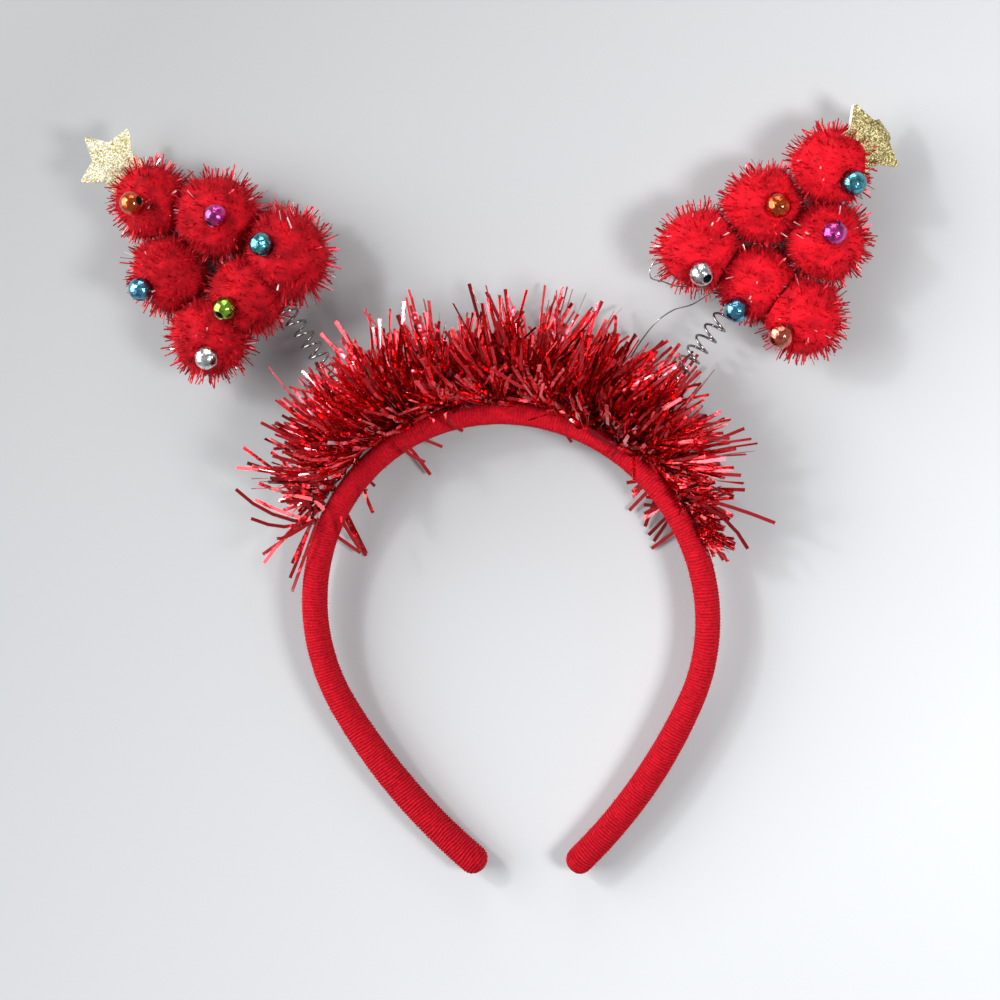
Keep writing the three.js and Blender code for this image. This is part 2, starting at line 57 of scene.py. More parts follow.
# Studio. The headband lies on a pale matt table top, in soft light from the upper left.
# The camera looks down at its front, turned a little to the right and rolled.
MM = 0.001
BAND_LEAN = math.radians(3)  # the crown's lift off the table
BAND_PLACE = np.array([0.559, -125.916, 5.806])  # mm, of the line between the tips
CAMERA_TURN, CAMERA_RISE, CAMERA_ROLL = np.radians([15, 8, 4.55])
CAMERA_AIM = np.array([0.69, 124.1, 0])  # mm, in the band's own plane
CAMERA_DISTANCE = 750
CAMERA_LENS = 81
TABLE_SIZE = 4.5
# The table's colour darkens towards its far side and the left: painted shade, a falloff of the light across
# the table.
TABLE_NEAR, TABLE_FAR = (0.49, 0.50, 0.515, 1), (0.28, 0.285, 0.29, 1)
SHADE_FROM, SHADE_TO = -0.2, 0.25  # metres up the table, where it starts and stops darkening
SHADE_SLANT = 0.7  # the darker side reaches so much further down at the left


class Signal:
    """A value on a finish's node sockets. Arithmetic on it adds Math nodes."""

    def __init__(self, socket):
        self.socket = socket

    def node(self, kind, settings=None, inputs=None, output=0):
        """A node of a kind: its settings go in first, then the values or links of its sockets."""
        made = self.socket.id_data.nodes.new(kind)
        for name, value in (settings or {}).items():
            if name == "stops":
                elements = made.color_ramp.elements
                elements.remove(elements[1])
                elements[0].position, elements[0].color = value[0]
                for position, colour in value[1:]:
                    elements.new(position).color = colour
            else:
                setattr(made, name, value)
        for name, value in (inputs or {}).items():
            feed(made.inputs[name], value)
        return Signal(made.outputs[output])

    def math(self, operation, *values):
        return self.node("ShaderNodeMath", {"operation": operation}, dict(enumerate(values)))

    def __add__(self, other):
        return self.math("ADD", self, other)

    def __sub__(self, other):
        return self.math("SUBTRACT", self, other)

    def __rsub__(self, other):
        return self.math("SUBTRACT", other, self)

    def __mul__(self, other):
        return self.math("MULTIPLY", self, other)

    __radd__, __rmul__ = __add__, __mul__

    def between(self, low, high):
        """0 where the value is at low, 1 at high, and evenly between them."""
        inputs = {"Value": self, "From Min": low, "From Max": high}
        return self.node("ShaderNodeMapRange", {}, inputs)

    def tinted(self, low, high):
        """The colour low where the value is 0, high where it is 1, mixed between them."""
        return self.node("ShaderNodeMix", {"data_type": "RGBA"}, {0: self, 6: low, 7: high}, 2)

    def noise(self, per_mm, detail=2.0):
        """Soft noise over these coordinates, with so many waves to the millimetre."""
        inputs = {"Vector": self, "Scale": per_mm / MM, "Detail": detail}
        return self.node("ShaderNodeTexNoise", {}, inputs)

    def bump(self, height_mm):
        """A bump as high as this value times a height."""
        return self.node("ShaderNodeBump", {}, {"Height": self, "Distance": height_mm * MM})

    def attribute(self, name):
        return self.node("ShaderNodeAttribute", {"attribute_name": name}, {}, 2)


def feed(socket, value):
    """Gives a socket a link, or a value of its own."""
    if isinstance(value, Signal):
        socket.id_data.links.new(value.socket, socket)
    else:
        socket.default_value = value


def finish(name, own):
    """A finish: its material, its shader's sockets with values of its own, and the Object
    coordinates as a signal."""
    material = bpy.data.materials.new(name)
    material.use_nodes = True
    nodes = material.node_tree.nodes
    sockets = nodes["Principled BSDF"].inputs
    for word, value in own.items():
        sockets[word].default_value = value
    return material, sockets, Signal(nodes.new("ShaderNodeTexCoord").outputs["Object"])


def unit(vectors):
    return vectors / np.maximum(np.linalg.norm(vectors, axis=-1, keepdims=True), 1e-12)


def made(name, points, faces, material, smooth=True, **values):
    """A mesh object from points in metres and triangles, with values kept per point."""
    mesh = bpy.data.meshes.new(name)
    mesh.vertices.add(len(points))
    mesh.vertices.foreach_set("co", np.ascontiguousarray(points, np.float32).ravel())
    mesh.loops.add(faces.size)
    mesh.loops.foreach_set("vertex_index", np.ascontiguousarray(faces, np.int32).ravel())
    mesh.polygons.add(len(faces))
    mesh.polygons.foreach_set("loop_start", np.arange(0, faces.size, 3, dtype=np.int32))
    mesh.polygons.foreach_set("use_smooth", np.full(len(faces), smooth))
    for word, value in values.items():
        attribute = mesh.attributes.new(word, "FLOAT", "POINT")
        attribute.data.foreach_set("value", np.ascontiguousarray(value, np.float32).ravel())
    mesh.update(calc_edges=True)
    mesh.validate()
    mesh.materials.append(material)
    thing = bpy.data.objects.new(name, mesh)
    bpy.context.scene.collection.objects.link(thing)
    return thing


def onto_table(points):
    """Points of the band's own plane in mm, leaned back and moved to its place, in metres."""
    x, y, z = np.moveaxis(np.asarray(points, float), -1, 0)
    cos, sin = math.cos(BAND_LEAN), math.sin(BAND_LEAN)
    return (np.stack([x, y * cos - z * sin, y * sin + z * cos], -1) + BAND_PLACE) * MM


table_finish, sockets, place = finish("table_top", {"Roughness": 0.9})
across, along = (place.node("ShaderNodeSeparateXYZ", {}, {0: place}, k) for k in (0, 1))
# painted shade: the table is coloured darker towards its far side and the left
painted_falloff = (along - across * SHADE_SLANT).between(SHADE_FROM, SHADE_TO)
feed(sockets["Base Color"], painted_falloff.tinted(TABLE_NEAR, TABLE_FAR))
half = TABLE_SIZE / 2
table_top = made(
    "table_top",
    np.array([[-half, -half, 0], [half, -half, 0], [half, half, 0], [-half, half, 0]]),
    np.array([[0, 1, 2], [0, 2, 3]]), table_finish,
)
table_top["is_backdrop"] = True

back = np.array([
    math.sin(CAMERA_TURN) * math.cos(CAMERA_RISE),
    math.sin(CAMERA_RISE),
    math.cos(CAMERA_TURN) * math.cos(CAMERA_RISE),
])
level = np.array([math.cos(CAMERA_TURN), 0, -math.sin(CAMERA_TURN)])
upright = np.cross(back, level)
right = level * math.cos(CAMERA_ROLL) - upright * math.sin(CAMERA_ROLL)
above = level * math.sin(CAMERA_ROLL) + upright * math.cos(CAMERA_ROLL)
eye = onto_table(CAMERA_AIM + CAMERA_DISTANCE * back)
turned = [(onto_table(way) - onto_table([0, 0, 0])) / MM for way in (right, above, back)]
camera = bpy.data.objects.new("camera", bpy.data.cameras.new("camera"))
camera.data.lens = CAMERA_LENS
camera.data.clip_start = 0.02
camera.matrix_world = Matrix([[*row, at] for row, at in zip(np.transpose(turned), eye)] + [[0, 0, 0, 1]])
bpy.context.scene.collection.objects.link(camera)
bpy.context.scene.camera = camera
bpy.context.scene.view_settings.view_transform = "Standard"

LIGHTS = {  # place and aim in metres, size in metres, watts
    "key_light": ([-1.45, 0.50, 0.95], [0.0, 0.0, 0.0], 1.8, 56.0),
    "front_light": ([0.60, -0.10, 0.65], [0.10, 0.05, 0.0], 0.2, 6.6),
    "left_glint": ([-0.60, 0.45, 0.75], [0.0, 0.05, 0.0], 0.1, 3.0),
    "top_light": ([0.1, 0.9, 0.35], [0.0, 0.0, 0.0], 0.5, 3.0),
}
for name, (at, aim, size, watts) in LIGHTS.items():
    lamp = bpy.data.lights.new(name, "AREA")
    lamp.size, lamp.energy = size, watts
    light = bpy.data.objects.new(name, lamp)
    z = unit(np.array(at) - np.array(aim))
    x = unit(np.cross([0, 0, 1], z))
    y = np.cross(z, x)
    light.matrix_world = Matrix([[*row, p] for row, p in zip(np.transpose([x, y, z]), at)] + [[0, 0, 0, 1]])
    bpy.context.scene.collection.objects.link(light)
bpy.context.scene.world = bpy.data.worlds.new("room")
bpy.context.scene.world.use_nodes = True
room = bpy.context.scene.world.node_tree.nodes["Background"].inputs
room["Color"].default_value = (0.95, 0.97, 1.0, 1)
room["Strength"].default_value = 0.36


# Headband. A springy plastic strip, padded, and wound from tip to tip with crimson yarn.
# The turns of yarn lie side by side as ribs, and the yarn's loose fibres stand off it.
CROWN_RADIUS, CROWN_HALF_ANGLE = 68, math.radians(117.2)
ARM_RADIUS, ARM_LENGTH = 193, 69
BAND_THICKNESS, TIP_THICKNESS, BAND_DEPTH = 8, 9.4, 11.5
TIP_ROUNDING = 4.6
SQUARENESS = 2.5
YARN_PITCH = 1.05
YARN_STEPS = 5  # rings to a turn of yarn
BAND_SIDES = 24
RIB_HEIGHT, RIB_HEIGHT_AT_TIP = 0.25, 0.6
RIB_SINK = 0.9  # share of a rib that lies below the band's own surface
RIB_WANDER, WANDER_LENGTH = 0.3, 9  # turns that a rib strays, and mm from stray to stray
RIB_POWER = 0.7  # below 1 for a round rib and a narrow groove
# the next value sets how strong the painted shade in the yarn's grooves is at the crown, as a share
GROOVE_SHADE_AT_CROWN = 0.35  # how deep the grooves look at the crown, as a share
BAND_FIBRES = 15000
FIBRE_ROOT = -0.25  # mm over the band's surface
FIBRE_LEAN = 0.75
FIBRE_FLOOR = 0.0001  # metres over the table
crown_length = CROWN_RADIUS * CROWN_HALF_ANGLE
half_length = crown_length + ARM_LENGTH
tip_angle = CROWN_HALF_ANGLE + ARM_LENGTH / ARM_RADIUS
crown_y = (
    ARM_RADIUS * (math.cos(CROWN_HALF_ANGLE) - math.cos(tip_angle))
    - CROWN_RADIUS * math.cos(CROWN_HALF_ANGLE)
)


def centreline(length):
    """The band's middle at a length to the right of the crown: a crown arc of 68 mm radius,
    then a flatter arc, then straight on. Gives the points and the angle turned from the crown."""
    side, run = np.where(length < 0, -1, 1), np.abs(length)
    over = np.maximum(run - half_length, 0)
    on_crown = np.minimum(run / CROWN_RADIUS, CROWN_HALF_ANGLE)
    turn = on_crown + np.clip(run - crown_length, 0, ARM_LENGTH) / ARM_RADIUS
    x = CROWN_RADIUS * np.sin(on_crown) + ARM_RADIUS * (np.sin(turn) - np.sin(on_crown))
    y = crown_y + CROWN_RADIUS * np.cos(on_crown) + ARM_RADIUS * (np.cos(turn) - np.cos(on_crown))
    x, y = x + over * np.cos(turn), y - over * np.sin(turn)
    return np.stack([side * x, y, np.zeros_like(x)], -1), side * turn


def band_surface(length, around, lift):
    """The band's skin: an oval section, cos and sin each to the power 2 / squareness, carried
    along the centreline. Past each tip's start it shrinks as a quarter of an ellipse."""
    middle, turn = centreline(length)
    over = np.maximum(np.abs(length) - half_length, 0) / TIP_ROUNDING
    share = np.sqrt(np.clip(1 - over**2, 0, 1))
    swell = np.clip((np.abs(length) / half_length - 0.55) / 0.3, 0, 1)
    thickness = BAND_THICKNESS + (TIP_THICKNESS - BAND_THICKNESS) * swell**2 * (3 - 2 * swell)
    oval = [np.sign(w) * np.abs(w) ** (2 / SQUARENESS) for w in (np.cos(around), np.sin(around))]
    outward = (thickness / 2 + lift) * share * oval[0]
    forward = (BAND_DEPTH / 2 + lift) * share * oval[1]
    out = np.stack([np.sin(turn), np.cos(turn), np.zeros_like(turn)], -1)
    return middle + out * outward[..., None] + np.array([0, 0, 1]) * forward[..., None]


def skin(rings, joined=False):
    """A closed skin over rings of points: two triangles between each four neighbours. The first
    and last ring are joined to each other, or each is drawn to its own middle."""
    count, sides = rings.shape[:2]
    index = np.arange(count * sides).reshape(count, sides)
    ahead = np.roll(index, -1, 0) if joined else index[1:]
    here = index if joined else index[:-1]
    a, b = here, np.roll(here, -1, 1)
    c, d = ahead, np.roll(ahead, -1, 1)
    faces = [np.stack([a, b, d], -1).reshape(-1, 3), np.stack([a, d, c], -1).reshape(-1, 3)]
    points = [rings.reshape(-1, 3)]
    if not joined:
        for ring, pole in ((index[0], count * sides), (index[-1], count * sides + 1)):
            fan = np.stack([np.full(sides, pole), np.roll(ring, -1), ring], -1)
            faces.append(fan if pole == count * sides else fan[:, [0, 2, 1]])
        points.append(np.stack([rings[0].mean(0), rings[-1].mean(0)]))
    return facing_out(np.concatenate(points), np.concatenate(faces))


def facing_out(points, faces):
    """The same closed body with its faces turned outwards, by the sign of its volume."""
    a, b, c = (points[faces[:, k]] for k in range(3))
    volume = np.einsum("ij,ij->i", a - points[0], np.cross(b - points[0], c - points[0])).sum()
    return points, faces if volume > 0 else faces[:, ::-1]


def waves(points, length, seed, count=6):
    """Smooth scatter from -1 to 1: the mean of a few sine waves that run all ways."""
    draw = np.random.default_rng(seed)
    ways = unit(draw.normal(size=(count, 3))) * draw.uniform(0.7, 1.5, (count, 1))
    phase = draw.uniform(0, 2 * np.pi, count)
    return np.sin(points @ ways.T * (2 * np.pi / length) + phase).mean(-1) * 1.6


def spikes(roots, tips, width, draw):
    """Closed fibres: a small triangle square to the way ahead, drawn to a point at the tip."""
    ahead = unit(tips - roots)
    side = unit(np.cross(ahead, draw.normal(size=roots.shape)))
    up = np.cross(ahead, side)
    corners = [
        roots + width[:, None] * (math.cos(turn) * side + math.sin(turn) * up)
        for turn in (0, 2 * math.pi / 3, 4 * math.pi / 3)
    ]
    points = np.stack([*corners, tips], 1)
    form = np.array([[0, 2, 1], [0, 1, 3], [1, 2, 3], [2, 0, 3]])
    faces = np.arange(len(roots))[:, None, None] * 4 + form
    return points.reshape(-1, 3), faces.reshape(-1, 3)


yarn_finish, sockets, place = finish("crimson_yarn", {
    "Roughness": 0.9, "Specular IOR Level": 0.1,
})
rib = place.attribute("rib")
mottle = place.noise(0.8, 4)
strand = place.noise(3.5, 3)
# The dark end of each colour pair, where the rib value is low, is painted shade in the grooves between the
# turns of yarn; the noise between the pairs is the yarn's own mottled tone.
deep = rib.tinted((0.02, 0.0, 0.001, 1), (0.30, 0.002, 0.007, 1))
clean = rib.tinted((0.13, 0.0, 0.003, 1), (0.68, 0.007, 0.022, 1))
feed(sockets["Base Color"], (mottle * 0.5 + strand * 0.45).between(0.3, 0.66).tinted(
    deep, clean,
))
feed(sockets["Normal"], (strand + mottle * 0.6).bump(0.3))

reach = half_length + TIP_ROUNDING * 0.995
ring_count = int(2 * reach / YARN_PITCH * YARN_STEPS)
length = np.linspace(-reach, reach, ring_count)[:, None]
around = np.linspace(0, 2 * np.pi, BAND_SIDES, endpoint=False)[None]
length, around = np.broadcast_arrays(length, around)
wander = RIB_WANDER * waves(np.stack([length, 6 * around, 0 * length], -1), WANDER_LENGTH, 3)
phase = length / YARN_PITCH + around / (2 * np.pi) + wander
rib = np.abs(np.sin(np.pi * phase)) ** RIB_POWER
clear = np.minimum(np.abs(length) / half_length, 1) ** 1.5  # felted over at the crown
height = RIB_HEIGHT + (RIB_HEIGHT_AT_TIP - RIB_HEIGHT) * clear
rings = band_surface(length, around, height * (rib - RIB_SINK))
# the rib value kept on the skin sets the painted shade in the grooves, weaker at the crown
rib = 1 - (1 - rib) * (GROOVE_SHADE_AT_CROWN + (1 - GROOVE_SHADE_AT_CROWN) * clear)
points, faces = skin(rings)
groove_shade = np.concatenate([rib.ravel(), [0.5, 0.5]])
headband = made("headband_yarn", onto_table(points), faces, yarn_finish, rib=groove_shade)
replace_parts(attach(headband, "root"), "headband")

draw = np.random.default_rng(5)
length = draw.uniform(-half_length, half_length, BAND_FIBRES)
around = draw.uniform(0, 2 * np.pi, BAND_FIBRES)
roots = band_surface(length, around, np.full(BAND_FIBRES, FIBRE_ROOT))
off = unit(roots - centreline(length)[0])
lean = draw.normal(size=roots.shape) * FIBRE_LEAN
tips = roots + unit(off + lean) * draw.gamma(4, 0.19, BAND_FIBRES)[:, None]
points, faces = spikes(roots, tips, draw.uniform(0.04, 0.08, BAND_FIBRES), draw)
points = onto_table(points)
points[:, 2] = np.maximum(points[:, 2], FIBRE_FLOOR)
fibre_finish, sockets, place = finish("crimson_fibre", {"Roughness": 0.9, "Specular IOR Level": 0.1})
feed(sockets["Base Color"], place.noise(1.2).tinted((0.26, 0.002, 0.007, 1), (0.62, 0.010, 0.027, 1)))
fuzz = made("headband_fuzz", points, faces, fibre_finish)
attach(fuzz, "root")


# Coil springs. Thin drawn steel wire, wound wider towards the tree, that carries each tree
# on the band. The foot is tied to the band, and the other end is glued into a pompom.
GAP = 0.3
COIL_RADIUS, WIRE_RADIUS = 3.1, 0.44
SPRING_LENGTH, SPRING_SET = 59, -2.6
PITCH_AT_BAND, PITCH_AT_TREE = 3.5, 4.9
SPRING_STEPS, WIRE_SIDES = 26, 8
CAD_WIRE_RADIUS = 0.4
BINDING_RADIUS, BINDING_SIDES, BINDING_STEPS = 0.22, 6, 8
BINDING_PULL = 0.8  # how roundly it passes through its bends
BINDING_WIRES = {  # bends, in mm on the table
    "tail": [
        (80, 64, 17), (71, 59, 17.5), (65, 57.6, 18.5), (59.8, 54.8, 19), (56.6, 52, 18),
        (52, 47, 16), (46, 39, 13),
    ],
    "loop": [
        (74, 76, 17), (65, 73.5, 18), (59.6, 73.4, 18), (57.4, 70.6, 18), (58, 68, 18),
        (62, 66.6, 18), (66, 65, 17.8), (76, 64, 17),
    ],
}
POMPOM_RADIUS = 14
TREES = {
    "left": dict(
        foot=-34.3, aim=-31.1, lean=-44.4, seat=(0.42, -0.52),
        pompoms=[  # across, along, size, stretch, towards
            (0, 3.47, 1.06, 1, 0), (0.94, 1.9, 1.12, 1, 0), (1.41, -0.12, 1.12, 1.14, 38),
            (-1.05, 1.96, 1.05, 1, 0), (0, 0, 1.06, 1, 0), (-1.5, 0.1, 1.1, 1, 0),
        ],
        beads=[  # towards, slant, bore, bore's slant, colour
            (-90, 7, 126, 72, "orange"), (150, 17, -104, 62, "magenta"),
            (-10, 29, -147, 80, "teal"), (-84, 34, -137, 80, "blue"),
            (-80, 29, -108, 44, "green"), (-163, 29, 18, 78, "silver"),
        ],
        # the star's last value is painted light: its gold is coloured lighter
        star=dict(across=0.05, along=1.3, turn=0, towards=134, slant=18, curl=False, pale=0.2),
        # painted shade over this tree's whole fuzz: it is coloured darker, as it is lit less
        painted_tree_shade=-0.38,
    ),
    "right": dict(
        foot=38.1, aim=42.7, lean=35.8, seat=(-0.16, -0.44),
        pompoms=[
            (0, 3.2, 1.0, 1, 0), (-0.84, 1.61, 0.98, 1, 0), (-1.56, -0.01, 1.07, 1, 0),
            (0.89, 1.7, 0.98, 1, 0), (0, 0, 0.96, 1, 0), (1.35, -0.06, 1.02, 1, 0),
        ],
        beads=[
            (97, 51, -91, 80, "teal"), (63, 31, -51, 82, "orange"),
            (126, 38, 95, 50, "silver"), (16, 18, -91, 80, "magenta"),
            (180, 49, -177, 78, "blue"), (-163, 36, 9, 84, "copper"),
        ],
        # the star's last value is painted shade: its gold is coloured darker
        star=dict(across=0.41, along=0.79, turn=20, towards=54, slant=28, curl=True, pale=-0.24),
        # painted shade over this tree's whole fuzz, slight here
        painted_tree_shade=-0.04,
    ),
}


def way(towards, slant=90):
    """The way at some degrees right of +Y, tilted by slant degrees from upright."""
    towards, slant = np.radians(towards), np.radians(slant)
    return np.stack([
        np.sin(towards) * np.sin(slant), np.cos(towards) * np.sin(slant),
        np.cos(slant) * np.ones_like(towards),
    ], -1)


def on_crown(degrees, radius, height):
    """A point at an angle and radius from the crown arc's centre, so far in front of it."""
    turn = np.radians(degrees)
    return np.stack([
        radius * np.sin(turn), crown_y + radius * np.cos(turn), height * np.ones_like(turn),
    ], -1)


def tube(path, sides, radius, beside):
    """A round wire along a path: rings square to its way, started from the side beside it."""
    ahead = unit(np.gradient(path, axis=0))
    side = unit(np.cross(ahead, beside))
    up = np.cross(ahead, side)
    turn = np.linspace(0, 2 * np.pi, sides, endpoint=False)
    round_it = side[:, None] * np.cos(turn)[None, :, None] + up[:, None] * np.sin(turn)[None, :, None]
    return skin(path[:, None] + radius * round_it)


def tree_frame(tree):
    """The spring's foot and end in the band's plane, and the tree's origin and turn in mm. The
    origin lies on the table under the middle of the fifth pompom."""
    seat = CROWN_RADIUS + BAND_THICKNESS / 2 + GAP + CAD_WIRE_RADIUS
    foot = on_crown(tree["foot"], seat, SPRING_SET)
    end = onto_table(foot + SPRING_LENGTH * way(tree["aim"])) / MM
    end[2] = POMPOM_RADIUS * tree["pompoms"][4][2]
    lean = np.radians(tree["lean"])
    turn = np.array([[np.cos(lean), np.sin(lean), 0], [-np.sin(lean), np.cos(lean), 0], [0, 0, 1]])
    origin = end - POMPOM_RADIUS * turn @ [*tree["seat"], 0]
    return onto_table(foot) / MM, end, origin * [1, 1, 0], turn


steel_finish, sockets, place = finish("spring_steel", {"Metallic": 1.0})
feed(sockets["Base Color"], place.noise(0.35, 3).tinted((0.12, 0.115, 0.115, 1), (0.52, 0.51, 0.50, 1)))
feed(sockets["Roughness"], place.noise(1.5).between(0.2, 0.8) * 0.16 + 0.1)
opening = (PITCH_AT_TREE - PITCH_AT_BAND) / SPRING_LENGTH
for side_name, tree in TREES.items():
    foot, end, origin, turn = tree_frame(tree)
    run = np.linalg.norm(end - foot)
    ahead = unit(end - foot)
    beside = unit(np.cross(ahead, [0, 0, 1]))
    turns = math.log(1 + opening * run / PITCH_AT_BAND) / opening
    share = np.linspace(0, 1, int(turns * SPRING_STEPS))[:, None]
    angle = 2 * np.pi * np.log(1 + opening * run * share / PITCH_AT_BAND) / opening + np.pi / 2
    out = np.cos(angle) * beside + np.sin(angle) * np.cross(beside, ahead)
    path = foot + run * share * ahead + COIL_RADIUS * out
    points, faces = tube(path, WIRE_SIDES, WIRE_RADIUS, ahead)
    spring = made(f"{side_name}_spring_wire", points * MM, faces, steel_finish)
    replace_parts(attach(spring, "root"), f"{side_name}_spring")

# the thin binding wire, whose two ends stick out of the right tree's outer pompom
for wire_name, bends in BINDING_WIRES.items():
    corners = np.array(bends)
    share = np.linspace(0, len(corners) - 1, BINDING_STEPS * (len(corners) - 1) + 1)
    begin = np.minimum(share.astype(int), len(corners) - 2)
    part = (share - begin)[:, None]
    pull = np.gradient(corners, axis=0) * BINDING_PULL
    path = (
        corners[begin] * (1 + 2 * part) * (1 - part) ** 2 + pull[begin] * part * (1 - part) ** 2
        + corners[begin + 1] * part**2 * (3 - 2 * part) - pull[begin + 1] * part**2 * (1 - part)
    )
    points, faces = tube(path, BINDING_SIDES, BINDING_RADIUS, np.array([0, 0, 1.0]))
    wire = made(f"right_binding_{wire_name}", points * MM, faces, steel_finish)
    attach(wire, "root")


# Tinsel garland. Strips of red metallised film, caught between two twisted wires that run
# along the crown's outer face. The strips stand out all round, bent and twisted at random.
GARLAND_FROM, GARLAND_TO = -55, 72
CORE_RADIUS, CORE_SET = 1.4, 2.8
CORE_WIRE, CORE_TWIST = 0.55, 6.0
CORE_APART = 0.6  # from the core's middle to the middle of each wire
CORE_STEPS, CORE_SIDES = 400, 6
TINSEL_REACH = 45
GARLAND_TOP, GARLAND_FLOOR = 45, 0.9  # mm above the table
STRIP_FLOOR = 0.1
LOCKS, LOCK_STRIPS = 590, 8
LOOSE_SHARE = 0.32  # of the locks
LOOSE_REACH, LEAST_REACH = (0.25, 0.6), 0.4  # of the tinsel's reach, for loose locks and the others
STRIP_REACH = (0.68, 1.0)  # of its lock's reach
LOCK_WIDTH = 0.006  # of the garland's length
AZIMUTH_SPLAY, SLEW_SPLAY = (24, 6), (30, 5)  # degrees within a lock, for loose ones and the others
LOOSE_BEND, LOCK_BEND = 0.3, 0.09
ROOT_SCATTER, KINK = 0.6, 0.45
TWIST_SPREAD = 1.0
STRIP_WIDTH, STRIP_THICKNESS = 1.2, 0.07
STRIP_RINGS = 5
LOCK_AZIMUTH, AZIMUTH_SPREAD = 18, 34  # degrees forward of straight out
BOW_AT_ROOT, BOW_AT_TIP = 26, -18  # degrees that a strip's way starts and ends beside its lock's
MOST_BACK, MOST_FRONT, MOST_FRONT_AT_TIP = -80, 115, 100
SLEW_SPREAD = 26
END_SPLAY = 26
SHORTER_FROM, SHORTEST_LOCK = 0.70, 0.33
THIN_LEFT, THIN_RIGHT = 0.12, 0.84  # shares of the length with fewer locks beyond them
MOVED_LEFT, MOVED_RIGHT = 0.85, 0.51  # share of the locks there that stand further in
SHORT_LEFT = 0.5
REACH_WAVES = ((0.1, 30, 4), (0.16, 8, 8))  # share of the reach, mm, seed
WAVES_RUN = 165
FORWARD_SHORTER = 0.9  # the more a strip points forward, the shorter
# painted shade: each strip's tint is darker towards its root, where the strips crowd at the core
ROOT_SHADE = 0.6
UNDER_BAND = ((46, 68, 13), (-62, -45, 4), (-32, -24, 2))  # degrees from and to, and how many
UNDER_SPAN = (20, 34)
STRAY_BOW = 1.6
STRAY_STRIPS = [  # across, along and height of the root, then of the tip, and the tint
    (-22.3, 163.2, 12, -17.5, 157.2, 8, 0.97), (-26.3, 166.2, 12, -19.5, 158.2, 8, 0.92),
    (-12.6, 155.3, 11, -7.9, 148.7, 8, 0.35), (-27.3, 145.2, 12, -21.8, 139.0, 8, 0.6),
    (-41.4, 131.4, 12, -41.4, 122.7, 8, 0.3), (-52.1, 122.1, 10, -47.1, 110.6, 8, 0.5),
    (-57.2, 126.5, 10, -86.1, 146.7, 6, 0.15), (-58.2, 124.5, 9, -84.1, 141.7, 9, 0.1),
    (-56.7, 132.0, 10, -89.3, 139.9, 6, 0.25), (-60.4, 127.9, 8, -73.7, 101.2, 6, 0.3),
    (51.5, 143.1, 10, 41.5, 138.2, 9, 0.25), (25.9, 154.2, 10, 34.6, 146.8, 7, 0.4),
    (39.4, 155.2, 11, 45.0, 144.0, 7, 0.5), (30.8, 153.3, 10, 50.8, 141.2, 7, 0.2),
    (66.0, 124.5, 12, 93.1, 114.1, 8, 0.6), (66.9, 123.5, 12, 83.8, 106.0, 8, 0.2),
    (66.4, 131.9, 12, 81.4, 138.9, 8, 0.5), (65.0, 126.5, 12, 84.1, 125.2, 8, 0.3),
    (-62.6, 119.7, 6, -88.3, 133.2, 11, 0.3), (-62.8, 124.8, 10, -76.3, 144.7, 6, 0.2),
    (-61.6, 128.5, 10, -81.4, 134.3, 7, 0.15), (-63.1, 121.3, 7, -85.4, 122.4, 7, 0.3),
    (-63.4, 125.0, 6, -83.1, 109.5, 5, 0.7), (-61.1, 126.1, 8, -80.3, 107.7, 12, 0.2),
    (-60.8, 121.8, 8, -73.8, 96.3, 5, 0.9), (-63.8, 119.6, 8, -73.6, 105.7, 3, 0.2),
    (-62.0, 121.4, 9, -75.2, 115.8, 11, 0.5), (-63.9, 123.8, 8, -69.5, 107.3, 3, 0.4),
    (-62.0, 120.6, 9, -84.1, 128.5, 5, 0.4), (-61.0, 123.9, 8, -74.4, 138.4, 10, 0.6),
]
core_circle = CROWN_RADIUS + BAND_THICKNESS / 2 + GAP + CORE_RADIUS


def strips(paths, across, thickness):
    """Closed flat strips, many at once. Each point of a path has a four-cornered section,
    from half widths across it and half its thickness, and each end is closed."""
    count, steps = paths.shape[:2]
    ahead = unit(np.gradient(paths, axis=1))
    half = np.linalg.norm(across, axis=-1, keepdims=True)
    flat = unit(across - ahead * np.sum(across * ahead, -1, keepdims=True))
    thin = np.cross(ahead, flat) * thickness / 2
    corners = np.stack([
        paths + u * half * flat + v * thin for u, v in ((-1, -1), (1, -1), (1, 1), (-1, 1))
    ], 2)
    ring = np.arange(steps - 1)[:, None] * 4
    a, b = ring + np.arange(4), ring + np.roll(np.arange(4), -1)
    sides = np.stack([a, b, b + 4, a, b + 4, a + 4], -1).reshape(-1, 3)
    last = 4 * steps - 4
    ends = [[0, 2, 1], [0, 3, 2], [last, last + 1, last + 2], [last, last + 2, last + 3]]
    form = np.concatenate([sides, ends])
    faces = np.arange(count)[:, None, None] * 4 * steps + form
    return corners.reshape(-1, 3), faces.reshape(-1, 3)


film_finish, sockets, place = finish("red_film", {
    "Metallic": 0.94, "Coat Weight": 0.7, "Coat Roughness": 0.05,
})
tint = place.attribute("tint")
feed(sockets["Base Color"], place.node("ShaderNodeValToRGB", {"stops": [
    (0.0, (0.20, 0.001, 0.003, 1)), (0.35, (0.72, 0.008, 0.016, 1)),
    (0.8, (1.0, 0.050, 0.070, 1)), (0.95, (0.98, 0.34, 0.42, 1)), (1.0, (0.95, 0.92, 0.94, 1)),
]}, {0: tint}))
feed(sockets["Roughness"], place.noise(0.6).between(0.3, 0.7) * 0.14 + 0.07)
feed(sockets["Normal"], place.noise(0.22, 2).bump(0.6))

